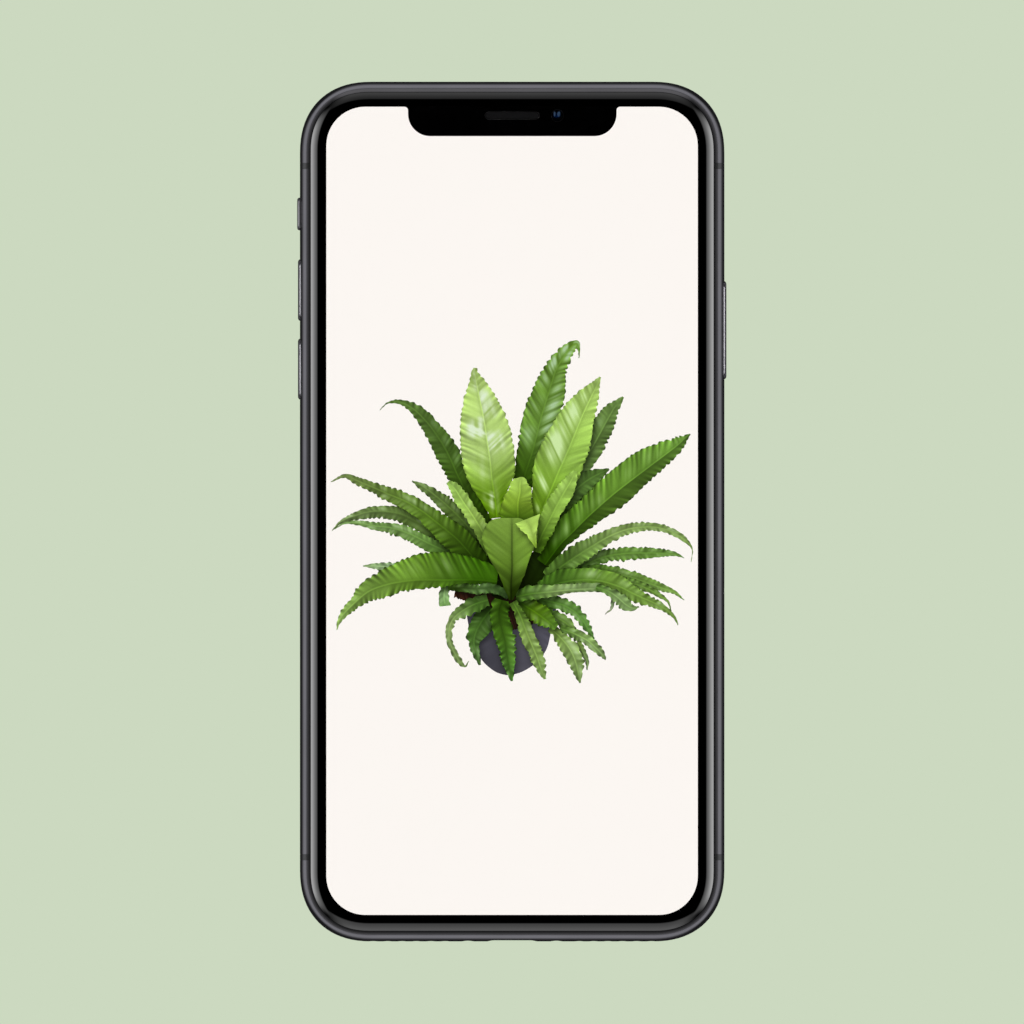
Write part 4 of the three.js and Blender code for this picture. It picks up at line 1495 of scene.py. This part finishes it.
        (-107, 99, 8, 8), (-124, 106, 7, 7), (-140, 113, 4.5, 5), (-154, 119, 4, 4), (-167, 124, 2, 2),
        (-181, 118, 0.4, 0.4),
    ]),
    ("left_thin", {
        "colours": [(36, 62, 12), (98, 132, 62), (125, 160, 90)], "sheen": (0.3, 0.4),
        "fade": (0.35, 1.0),
    }, [
        (-32, 25, 6, 6), (-50, 38, 7, 7), (-67, 49, 7, 7), (-84, 57, 8, 6), (-102, 66, 7, 6),
        (-120, 72, 6, 5), (-137, 74, 4, 4), (-154, 77, 2.5, 2.5), (-167, 77, 1.2, 1.2),
        (-177, 71, 0.3, 0.3),
    ]),
    ("left_arched", {
        "colours": [(50, 80, 22), (95, 125, 52), (130, 155, 95)], "sides": (0.8, 1.1),
        "sheen": (0.1, 0.5),
    }, [
        (-27, 28, 6, 6), (-47, 44, 8, 8), (-67, 59, 8, 8), (-87, 73, 8, 8), (-107, 84, 8, 8),
        (-124, 88, 7, 6), (-142, 88, 6, 5), (-160, 83, 3.5, 3), (-171, 78, 1.5, 1.5),
        (-180, 69, 0.4, 0.4),
    ]),
    ("left_back_short", {
        "colours": [(66, 92, 32), (84, 110, 46), (112, 138, 75)],
    }, [
        (-35, 62, 6, 6), (-48, 78, 8, 8), (-60, 90, 8, 8), (-70, 99, 7, 7), (-80, 107, 5, 5),
        (-90, 114, 4, 3), (-100, 119, 0.5, 0.5),
    ]),
    ("left_tip_low", {
        "colours": [(110, 145, 80), (150, 180, 130), (140, 170, 110)],
    }, [
        (-92, 25, 6, 6), (-110, 30, 6, 6), (-124, 33, 5, 4), (-136, 34, 3.5, 3), (-149, 34, 0.3, 0.3),
    ]),
    ("tall_left", {
        **OLD, "colours": [(45, 75, 8), (66, 95, 32), (95, 125, 60)], "sheen": (0.1, 0.4),
        "fade": (0.3, 1.0),
    }, [
        (-22, 70, 8, 8), (-44, 105, 9, 9), (-53, 122, 10, 10), (-65, 148, 12, 12), (-79, 170, 9, 9),
        (-90, 183, 7, 8), (-100, 192, 4, 5), (-112, 198, 2.5, 2.5), (-124, 197, 0.8, 0.8),
        (-132, 190, 0.3, 0.3),
    ]),
    ("tall_right", {
        "colours": [(38, 68, 3), (96, 132, 50), (106, 147, 46)], "sheen_colour": (172, 202, 158),
        "sheen": (0.95, 0.9), "rib": 0.2, "pitch": 7, "rake": 0.9, "stripe": 0.22, "fade": (0.28, 1.0),
    }, [
        (4, 88, 9, 9), (12, 122, 11, 11), (21, 150, 16, 15), (29, 182, 18, 17), (37, 208, 16, 16),
        (44, 230, 12, 11), (53, 245, 9, 7), (60, 254, 5, 5), (65, 256, 3, 3), (67, 249, 1, 1),
        (67, 242, 0.3, 0.3),
    ]),
    ("right_back_short", {
        **OLD, "colours": [(35, 60, 8), (75, 105, 45), (85, 120, 50)],
    }, [
        (38, 82, 8, 8), (56, 103, 10, 10), (76, 120, 9, 10), (97, 131, 1, 1),
    ]),
    ("right_back", {
        **OLD, "colours": [(45, 75, 15), (90, 120, 55), (105, 135, 68)], "sheen": (0.4, 0.2),
    }, [
        (40, 78, 8, 10), (68, 132, 12, 10), (80, 152, 12, 11), (92, 174, 12, 10), (101, 190, 8, 6),
        (111, 203, 1, 1),
    ]),
    ("shade_left", {
        **SHADE, "colours": [(16, 27, 2), (32, 52, 10), (40, 64, 16)],
    }, [
        (-7, 2, 8, 8), (-20, 25, 12, 16), (-30, 50, 14, 22), (-38, 72, 12, 18), (-50, 90, 3, 3),
    ]),
    ("shade_right", {
        **SHADE, "colours": [(16, 27, 2), (32, 52, 10), (40, 64, 16)],
    }, [
        (8, 0, 8, 8), (20, 20, 14, 12), (34, 44, 14, 12), (48, 70, 20, 12), (66, 95, 14, 10),
        (84, 114, 3, 3),
    ]),
    ("shade_middle", {
        **SHADE, "colours": [(28, 46, 6), (38, 62, 12), (44, 70, 16)],
    }, [
        (6, 56, 16, 16), (6, 80, 17, 17), (6, 98, 16, 16), (6, 112, 4, 4),
    ]),
    ("pot_soil", {
        **SHADE, "colours": [(60, 34, 22), (52, 28, 20), (60, 40, 26)], "stripe": 0.5, "pitch": 3,
        "ripple": 0.5,
    }, [
        (-57, 9, 3, 6), (-40, 6, 5, 9), (-20, 4, 6, 14), (0, 0, 6, 30), (20, -4, 4, 22), (36, -6, 3, 10),
    ]),
    ("pot_body", {
        **SHADE, "colours": [(54, 53, 60), (60, 59, 67), (54, 53, 59)], "sides": (1.3, 1.2),
        "sheen": (0.15, 0.1), "sheen_colour": (140, 140, 150), "sheen_place": 0.75, "rim": 0.1, "edge": 0,
        "ripple": 0, "stripe": 0, "crisp": 0, "shadow": 0.35,
    }, [
        (-4, 8, 50, 44), (-4, -10, 48, 42), (-4, -32, 43, 38), (-4, -48, 39, 32), (-4, -60, 31, 26),
        (-4, -68, 21, 18), (-4, -73, 11, 10), (-4, -75, 2, 2),
    ]),
]
print(len(FRONDS), "fronds and other forms in the picture")


# %% [markdown]
# Every form lies a hair's breadth above the one behind it, in the clear glass just over the panel, as
# the print does. Forms that stand together become one piece. Its grids are made by the grid operator
# and moved into place all at once, and the colours go to an attribute that the glow reads.

# %% A glowing piece of the picture
ONE_FACE_PASSES = 0.96


def fern_finish():
    material, tree, inputs = glow_finish("fern_glow", ONE_FACE_PASSES)
    painted = tree.node("ShaderNodeAttribute", {"attribute_name": "painted"}, {}, "Color")
    feed(tree, inputs, emission_color=painted)
    return material


def picture_piece(name, sheets):
    """One piece of several grids, each given as its points in millimetres and its colours."""
    mesh = bmesh.new()
    for points, _ in sheets:
        rows, columns = points.shape[:2]
        bmesh.ops.create_grid(mesh, x_segments=columns - 1, y_segments=rows - 1, size=0.5)
    piece = finish(mesh, name, "body", fern_glow)
    places = np.concatenate([points.reshape(-1, 3) for points, _ in sheets])
    colours = np.concatenate([colours.reshape(-1, 3) for _, colours in sheets])
    piece.data.vertices.foreach_set("co", (places * MM).ravel())
    painted = piece.data.color_attributes.new("painted", "FLOAT_COLOR", "POINT")
    solid = np.ones((len(colours), 1))
    painted.data.foreach_set("color", np.hstack([eye_to_light(colours), solid]).ravel())
    piece.data.update()
    return len(piece.data.polygons)


fern_glow = fern_finish()
print("the fern's glow is raised by", round(1 / ONE_FACE_PASSES - 1, 3), "for the glass above it")


# %% Build the picture
LAYER = 0.005
PICTURE_BASE = FRONT_GLASS_Z + 0.015
GROUPS = ("front", "young", "left", "right", "tall", "shade", "pot")

shadows = Shadows()
sheets = {group: [] for group in GROUPS}
for layer, (name, look, stations) in enumerate(FRONDS):
    frond = Frond(stations, look, seed=layer + 1)
    points = frond.points()
    colours = frond_colours(frond, shadows.shade(points))
    shadows.cover(points)
    height = np.full((*points.shape[:2], 1), PICTURE_BASE + LAYER * (len(FRONDS) - layer))
    placed = np.concatenate([points * UNIT + np.array(CROWN), height], axis=-1)
    sheets[name.split("_")[0]].append((placed, colours))
faces = {group: picture_piece(f"picture_{group}", laid) for group, laid in sheets.items()}
print("faces in the picture:", faces)


# %% [markdown]
# ## Keys, ring lever and card tray
#
# Each key is a polished bar with a wider flange behind the band's wall that keeps it in. The bar's long
# edges are rounded, and that is where it catches the light. A capsule gives the flange, insetting its
# face gives the cap, and extruding that face and bevelling its rim gives the shape.

# %% Keys
FLANGE_THICKNESS = 0.6
KEY_FORM = {"flange": 0.65, "rounding": 0.56}
KEY_BODIES = {
    "side_button": "side_key",
    "volume_up_button": "volume_up_key",
    "volume_down_button": "volume_down_key",
}


def pull_top(mesh, inset, height):
    """Insets the topmost face and extrudes it upwards, or downwards by a negative height."""
    bmesh.ops.inset_individual(mesh, faces=[top_face(mesh)], thickness=inset)
    pulled = bmesh.ops.extrude_discrete_faces(mesh, faces=[top_face(mesh)])["faces"][0]
    bmesh.ops.translate(mesh, vec=(0, 0, height), verts=pulled.verts[:])
    return mesh


def key_mesh(length, width, low_x, high_x, flange, rounding):
    """A key that points along X from low_x to high_x, about the origin in Y and Z."""
    mesh = raise_face(capsule(length + 2 * flange, width + 2 * flange, 48), FLANGE_THICKNESS)
    height = high_x - low_x
    pull_top(mesh, flange, height - FLANGE_THICKNESS)
    bevel_rim(mesh, height, rounding, 8)
    return turned(mesh, (90, "Y"), Vector((low_x, 0, 0)))


def key_piece(node, name, body, size, z, form, material):
    low, high = span(node)
    mesh = key_mesh(*size, *sorted((abs(low.x), abs(high.x))), **form)
    if low.x < 0:
        turned(mesh, (180, "Z"))
    turned(mesh, Vector((0, middle(node).y, z)))
    return finish(mesh, name, body, material, [node])


for node, body in KEY_BODIES.items():
    key_piece(node, node + "_bar", body, SIDE_PIECES[node], MIDDLE_Z, KEY_FORM, key_steel)
print("keys:", ", ".join(KEY_BODIES))


# %% [markdown]
# The ring switch's lever is the same kind of bar, shorter and narrower, and blasted matt for grip. It
# rests towards the display and slides towards the back, so its slot is wider than the lever.

# %% Ring switch lever
LEVER_SIZE = (SIDE_PIECES["ring_switch"][0], 1.6)
LEVER_FORM = {"flange": 0.55, "rounding": 0.4}
LEVER_Z = MIDDLE_Z + 0.5
# where painted shade darkens the lever's steel at its foot, in the slot's gap
LEVER_PAINTED_SHADE = (HALF_WIDTH - 0.25, HALF_WIDTH + 0.15)

lever_steel = steel_finish("lever_steel", KEY_COLOUR, 0.45, LEVER_PAINTED_SHADE)
key_piece("ring_switch", "ring_lever_bar", "ring_lever", LEVER_SIZE, LEVER_Z, LEVER_FORM, lever_steel)
print("ring lever made")


# %% [markdown]
# The card tray's face must follow the band's curve, so that a finger glides over it. The surest way is
# to cut it from the band's own form. Behind it comes a slab with a pocket for the card, and a pin hole
# goes through the face, for the tool that pushes the tray out.

# %% Card tray
TRAY_SLAB = {"width": 13.8, "thickness": 1.0, "rim": 0.8, "depth": 0.7}
TRAY_INNER = span("sim_tray")[0].x
TRAY_Y = middle("sim_tray").y
TRAY_PIN = {"radius": 0.4, "y": TRAY_Y - SIDE_PIECES["sim_tray"][0] / 2 + 1.2}


def pin_hole():
    low_x, high_x = HALF_WIDTH - BAND_WALL - CUT_PAST, HALF_WIDTH + CUT_PAST
    hole = disc_mesh(TRAY_PIN["radius"], 0, high_x - low_x, segments=24)
    return turned(hole, (90, "Y"), Vector((low_x, TRAY_PIN["y"], MIDDLE_Z)))


def tray_face():
    face = boolean(ring_mesh(band_levels(), closed=True), through_side("sim_tray"), "INTERSECT")
    return boolean(face, pin_hole())


def tray_slab():
    half = Vector((0, TRAY_SLAB["width"] / 2, TRAY_SLAB["thickness"] / 2))
    low = Vector((TRAY_INNER, TRAY_Y, MIDDLE_Z)) - half
    high = Vector((HALF_WIDTH - BAND_WALL, TRAY_Y, MIDDLE_Z)) + half
    return pull_top(box_mesh(low, high), TRAY_SLAB["rim"], -TRAY_SLAB["depth"])


tray = together(tray_face(), tray_slab())
finish(tray, "tray_face_and_slab", "card_tray", band_steel, ["sim_tray"])
print("card tray made")


# %% [markdown]
# ## The rear camera
#
# The camera stands out of the back: a steel rim round a dark plate, two lens windows and a flash
# between them. Behind each window a black stepped baffle keeps stray light out, and a coated lens lies
# at its middle. What is turned on a lathe is spun here: a profile of a few points goes once round the
# lens's axis.

# %% Lathe-turned forms
def spun(profile, x, y, steps=64):
    """A lathe-turned form about a line along Z, from (radius, z) points."""
    mesh = bmesh.new()
    points = [mesh.verts.new((radius, 0, z)) for radius, z in profile]
    edges = [mesh.edges.new(pair) for pair in zip(points, points[1:])]
    turn = {"angle": 2 * math.pi, "axis": (0, 0, 1), "cent": (0, 0, 0)}
    bmesh.ops.spin(mesh, geom=points + edges, steps=steps, use_merge=True, **turn)
    weld(mesh)
    return turned(mesh, Vector((x, y, 0)))


example = spun([(0, 0), (1, 0), (1, 1), (0, 1)], 0, 0)
print("a plain rod spun from 4 points has", len(example.faces), "faces")
example.free()


# %% Rim and plate
LENS_OFFSET = 6.7
LENS_WINDOW = 3.65
FLASH_WINDOW = 1.7
WINDOW_GAP = 0.05
THROUGH_PLATE = (-1, 3)
RIM_ROUND = 0.35
PLATE_ROUND = 0.08
rim_height = span("camera_ring")[1].z
plate_low, plate_high = span("camera_plate")
lens_places = [(camera_place.x, camera_place.y + side * LENS_OFFSET) for side in (1, -1)]


def camera_rim():
    mesh = capsule(CAMERA["length"], CAMERA["width"], 64)
    bmesh.ops.inset_individual(mesh, faces=mesh.faces[:], thickness=CAMERA["wall"])
    middle_face = min(mesh.faces, key=lambda face: face.calc_center_median().length)
    bmesh.ops.delete(mesh, geom=[middle_face], context="FACES_ONLY")
    raise_face(mesh, rim_height)
    bevel_rim(mesh, 0, RIM_ROUND, 6)
    return turned(mesh, Vector((camera_place.x, camera_place.y, 0)))


def rear_plate():
    size = plate_high - plate_low
    mesh = raise_face(capsule(size.y, size.x, 64), size.z)
    bevel_rim(mesh, 0, PLATE_ROUND, 3)
    turned(mesh, Vector((camera_place.x, camera_place.y, plate_low.z)))
    holes = [disc_mesh(LENS_WINDOW + WINDOW_GAP, *THROUGH_PLATE, x, y) for x, y in lens_places]
    holes.append(disc_mesh(FLASH_WINDOW + WINDOW_GAP, *THROUGH_PLATE, camera_place.x, camera_place.y))
    return boolean(mesh, together(*holes))


finish(camera_rim(), "camera_rim", "body", band_steel, ["camera_ring"])
finish(rear_plate(), "camera_dark_plate", "body", back_dark, ["camera_plate"])
print("rear camera rim and plate made")


# %% Lens windows
WINDOW_EDGE = 0.08
window_low, window_high = (corner.z for corner in span("lens_window_upper"))


def window_profile():
    inner = (LENS_WINDOW - WINDOW_EDGE, window_low)
    outer = (LENS_WINDOW, window_low + WINDOW_EDGE)
    return [(0, window_low), inner, outer, (LENS_WINDOW, window_high), (0, window_high)]


lens_clear = clear_glass("lens_glass", 0.0, (0.82, 0.86, 0.95))[0]
for name, (x, y) in zip(("upper", "lower"), lens_places):
    pane = spun(window_profile(), x, y)
    finish(pane, f"lens_pane_{name}", "body", lens_clear, [f"lens_window_{name}"])
print("lens windows made at", [(round(x, 1), round(y, 1)) for x, y in lens_places])


# %% Lens baffles and coated lenses
BAFFLE = [
    (3.5, 0.93), (3.5, 0.79), (3.1, 0.79), (3.0, 0.84),
    (2.6, 0.84), (2.5, 0.89), (2.0, 0.89), (1.85, 0.93),
]
LENS_DOME = {"radius": 1.78, "edge_z": 1.45, "rise": 0.42, "flank": 0.08, "steps": 10}
COATING_REACH = (0.2, 1.6)


def dome_profile(radius, edge_z, rise, flank, steps):
    """Half the section of a lens: its curved face towards the back, its flank and its flat face."""
    bend = (radius**2 + rise**2) / (2 * rise)
    profile = []
    for step in range(steps + 1):
        out = radius * step / steps
        profile.append((out, edge_z - rise + bend - math.sqrt(bend**2 - out**2)))
    return profile + [(radius, edge_z + flank), (0, edge_z + flank)]


def coated_lens(name, centre, edge):
    """Dark glass whose coating goes from one tint at the middle to another at the rim."""
    material, tree, inputs = principled(name, roughness=0.03, ior=1.7, coat_weight=1.0)
    x, y, _ = tree.place().parts()
    which = 2 * y.over(camera_place.y) - 1
    out = distance(x - camera_place.x, y - camera_place.y - LENS_OFFSET * which)
    feed(tree, inputs, base_color=tree.blend(out.ramp(*COATING_REACH), centre, edge))
    return material


lens_coat = coated_lens("lens_coating", (0.012, 0.02, 0.05), (0.035, 0.012, 0.05))
for name, (x, y) in zip(("upper", "lower"), lens_places):
    baffle = spun(BAFFLE + BAFFLE[:1], x, y)
    finish(baffle, f"lens_baffle_{name}", "body", module_plastic)
    dome = spun(dome_profile(**LENS_DOME), x, y)
    finish(dome, f"lens_dome_{name}", "body", lens_coat)
print("baffles and lenses made")


# %% [markdown]
# The flash has a ribbed window of clear, faintly yellow plastic that spreads the light of the lamp
# behind it. The ribs are rings in the profile, so they are real relief.

# %% Flash window
FLASH_RIBS = 6
RIB = {"height": 0.05, "top": 0.45, "foot": 0.9}
FLASH_EDGE = 0.04
FLASH_TINT = (1.0, 0.97, 0.86)


def flash_profile():
    """Half the section of the window. A rib's top and foot lie at shares of its width."""
    width = FLASH_WINDOW / FLASH_RIBS
    profile = [(0, window_low)]
    for rib in range(FLASH_RIBS):
        start = width * rib
        profile.append((start + width * RIB["top"], window_low + RIB["height"]))
        profile.append((start + width * RIB["foot"], window_low))
    rim = [(FLASH_WINDOW, window_low + FLASH_EDGE), (FLASH_WINDOW, window_high)]
    return profile + rim + [(0, window_high)]


flash_clear = clear_glass("flash_lens", 0.05, FLASH_TINT)[0]
flash_pane = spun(flash_profile(), camera_place.x, camera_place.y)
finish(flash_pane, "flash_pane", "body", flash_clear, ["flash_window"])
print("flash window made with", FLASH_RIBS, "ribs")


# %% [markdown]
# ## The bottom end
#
# The charging port is a drawn steel shell with a tongue that carries gilded contacts on both faces. A
# screw stands on each side of it, with a six-lobed recess, which is a circle whose radius swells six
# times.

# %% Port
PORT_END = 0.8
TONGUE_ROUND = 0.3
CONTACTS = {"count": 12, "pitch": 0.5, "start": 0.4, "width": 0.26, "length": 2.9, "proud": 0.02}
tongue_low, tongue_high = span("port_tongue")


def port_shell():
    mouth = PORT_LIP_Y + PORT_GAP
    outer = port_bar(0, mouth, port_high.y)
    return boolean(outer, port_bar(-PORT_WALL, mouth - CUT_PAST, port_high.y - PORT_END))


def port_tongue():
    mesh = box_mesh(tongue_low, tongue_high)
    front = [edge for edge in upright_edges(mesh) if abs(edge.verts[0].co.y - tongue_low.y) < CLOSE]
    return rounded(mesh, front, TONGUE_ROUND, 4)


def port_contacts():
    """Small bars in two rows, each half sunk in a face of the tongue."""
    half = Vector((CONTACTS["width"] / 2, CONTACTS["length"] / 2, CONTACTS["proud"]))
    y = tongue_low.y + CONTACTS["start"] + half.y
    bars = []
    for number in range(CONTACTS["count"]):
        x = (number - (CONTACTS["count"] - 1) / 2) * CONTACTS["pitch"]
        for z in (tongue_high.z, tongue_low.z):
            place = Vector((x, y, z))
            bars.append(box_mesh(place - half, place + half))
    return together(*bars)


port_steel = steel_finish("port_steel", (0.45, 0.45, 0.46), 0.28)
gilding = steel_finish("contact_metal", (0.9, 0.66, 0.3), 0.25)
finish(port_shell(), "port_liner", "body", port_steel, ["port_shell"])
finish(port_tongue(), "port_blade", "body", module_plastic, ["port_tongue"])
finish(port_contacts(), "port_contacts", "body", gilding)
print("port made with", 2 * CONTACTS["count"], "contacts")


# %% Bottom screws
RECESS = {"radius": 0.52, "swell": 0.16, "lobes": 6, "depth": 0.5}
SCREW_SHANK = 0.65
SCREW_EDGE = 0.12
SCREW_SHOULDER_Y = -70.68


def lobed_prism(depth):
    mesh = bmesh.new()
    bmesh.ops.create_circle(mesh, cap_ends=True, segments=72, radius=RECESS["radius"])
    for vertex in mesh.verts:
        angle = math.atan2(vertex.co.y, vertex.co.x)
        vertex.co *= 1 + RECESS["swell"] * math.cos(RECESS["lobes"] * angle)
    return raise_face(mesh, depth)


def bottom_screw(node):
    low_y, high_y = (corner.y for corner in span(node))
    head = [(0, low_y), (SCREW_HEAD - SCREW_EDGE, low_y), (SCREW_HEAD, low_y + SCREW_EDGE)]
    shoulder = [(SCREW_HEAD, SCREW_SHOULDER_Y), (SCREW_SHANK, SCREW_SHOULDER_Y)]
    profile = head + shoulder + [(SCREW_SHANK, high_y), (0, high_y)]
    place = Vector((middle(node).x, 0, MIDDLE_Z))
    screw = turned(spun(profile, 0, 0, 48), (-90, "X"), place)
    start = place + Vector((0, low_y - CUT_PAST, 0))
    return boolean(screw, turned(lobed_prism(RECESS["depth"] + CUT_PAST), (-90, "X"), start))


for side_name in ("left", "right"):
    node = f"bottom_screw_{side_name}"
    finish(bottom_screw(node), node + "_turned", "body", screw_steel, [node])
print("screws made")


# %% [markdown]
# ## The front camera's lens
#
# Under the small round hole in the print lies a lens. It is nearly black with a blue coating, and blue
# glints, reflections of the lens faces further in, are painted into its colour as highlights. Each glint
# is an oval with a place and two half sizes.

# %% Front lens
FRONT_LENS = {"radius": 1.0, "thickness": 0.03}
# ovals of painted reflection: (left, up, half width, half height) from the lens's middle
PAINTED_GLINTS = [(-0.5, 0.28, 0.2, 0.42), (0.2, 0.24, 0.3, 0.46)]
LENS_DEEP = (0.0, 0.008, 0.042)
LENS_DARK = (0.0003, 0.0006, 0.0015)
PAINTED_GLINT_COLOUR = (0.055, 0.1, 0.185)
LENS_RIM = (0.02, 0.03, 0.035)


def front_lens_finish():
    material, tree, inputs = principled("front_lens_tint_and_painted_glints", roughness=0.03, ior=1.6)
    x, y, _ = tree.place().parts()
    across, along = x - FRONT_CAMERA.x, y - FRONT_CAMERA.y
    out = distance(across, along)
    glow = 0.0
    # painted reflections: inside each oval the colour brightens to a blue glint
    for left, up, half_width, half_height in PAINTED_GLINTS:
        sideways, lengthways = (across - left) / half_width, (along - up) / half_height
        glow = glow + (sideways * sideways + lengthways * lengthways).ramp(0.0, 1.6, 1.0, 0.0)
    rim = out.ramp(0.55, 0.85) * out.ramp(0.85, 1.0, 1.0, 0.0) * 0.25
    ground = tree.blend(out.ramp(0.1, 0.9), LENS_DEEP, LENS_DARK)
    lit = tree.blend(glow.ramp(0.0, 1.0), ground, PAINTED_GLINT_COLOUR)
    feed(tree, inputs, base_color=tree.blend(rim, lit, LENS_RIM))
    return material


lens_low = span("front_camera")[1].z
lens_high = lens_low + FRONT_LENS["thickness"]
front_lens = disc_mesh(FRONT_LENS["radius"], lens_low, lens_high, FRONT_CAMERA.x, FRONT_CAMERA.y)
finish(front_lens, "front_lens", "body", front_lens_finish())
print("front lens made")


# %% [markdown]
# Beside the lens, under the print, sit the housings of the infrared camera and of the dot projector.
# Their corners are round, so that they stay behind the print's own round corners from every side.

# %% Sensor housings
HOUSING_ROUND = 1.4
HOUSING_RIM = 0.2


def sensor_housing(node):
    mesh = box_mesh(*span(node))
    rounded(mesh, upright_edges(mesh), HOUSING_ROUND, 8)
    return bevel_rim(mesh, span(node)[1].z, HOUSING_RIM, 3)


for node in ("infrared_camera", "dot_projector"):
    finish(sensor_housing(node), node + "_housing", "body", module_plastic, [node])
print("sensor housings made")


# %% [markdown]
# ## Finishes of the parts inside
#
# The inner parts keep their CAD shapes. They show only when the phone is taken apart, but each still
# gets the finish of its kind: rolled and stamped metal, wound copper, green-black board, foil and woven
# mesh.

# %% Woven mesh and wound copper
COIL_TURN = 12.0
COPPER = ((0.16, 0.05, 0.02), (0.75, 0.36, 0.18))


def woven_finish(name, colour, pitch):
    """Two families of wires that cross: each wave is a row of wires."""
    material, tree, inputs = principled(name, metallic=0.9, roughness=0.5, specular_ior_level=0.2)
    x, y, z = tree.place().parts()
    turn = 2 * math.pi / pitch
    weave = (x * turn).sine() * ((y + z) * turn).sine() * 0.5 + 0.5
    base = tree.blend(weave, shaded(colour, 0.25), shaded(colour, 1.6))
    feed(tree, inputs, base_color=base, normal=tree.bump(weave, 0.03))
    return material


def coil_finish():
    material, tree, inputs = principled("coil_copper", metallic=1.0, roughness=0.3)
    x, y, _ = tree.place().parts()
    coil = middle("charging_coil")
    wires = (distance(x - coil.x, y - coil.y) * COIL_TURN).sine() * 0.5 + 0.5
    feed(tree, inputs, base_color=tree.blend(wires, *COPPER), normal=tree.bump(wires, 0.1))
    return material


print("the coil's wires lie", round(2 * math.pi / COIL_TURN, 2), "mm apart")


# %% Board and foil
BOARD = ((0.004, 0.014, 0.012), (0.012, 0.045, 0.035))
FOIL = ((0.012, 0.012, 0.013), (0.03, 0.03, 0.032))
TRACKS = {"feature": "F1", "distance": "CHEBYCHEV"}
TRACK_SIZE = 2.0


def board_finish():
    material, tree, inputs = principled("circuit_board", roughness=0.35)
    values = {"Vector": tree.place(), "Scale": 1 / TRACK_SIZE}
    tracks = tree.node("ShaderNodeTexVoronoi", TRACKS, values, "Distance").ramp(0.35, 0.4)
    feed(tree, inputs, base_color=tree.blend(tracks, *BOARD), normal=tree.bump(tracks, 0.03))
    return material


def foil_finish():
    material, tree, inputs = principled("battery_foil")
    wrinkle = tree.noise(2.5, detail=4.0)
    rough = wrinkle.ramp(*CLOUDS, 0.25, 0.5)
    base = tree.blend(wrinkle, *FOIL)
    feed(tree, inputs, base_color=base, roughness=rough, normal=tree.bump(wrinkle, 0.08))
    return material


print("the board's tracks lie about", TRACK_SIZE, "mm apart")


# %% Dress the parts inside
inner_finishes = {
    "sound_mesh": woven_finish("sound_mesh", (0.0062, 0.0062, 0.0066), 0.12),
    "coil_copper": coil_finish(),
    "circuit_board": board_finish(),
    "battery_foil": foil_finish(),
    "flex_circuit": plastic_finish("flex_circuit", (0.09, 0.035, 0.01), 0.3),
    "plate_steel": steel_finish("plate_steel", (0.5, 0.5, 0.52), 0.4),
    "shield_metal": steel_finish("shield_metal", (0.62, 0.62, 0.63), 0.3),
    "contact_metal": gilding,
    "module_plastic": module_plastic,
    "band_plastic": band_plastic,
    "display": plastic_finish("panel_back", (0.01, 0.01, 0.011), 0.3),
}
carried_over = [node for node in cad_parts.values() if not node.hide_render]
for node in carried_over:
    slot = node.data.materials[0].name.split(".")[0]
    node.data.materials[0] = inner_finishes[slot]
print("carried-over parts:", len(carried_over))
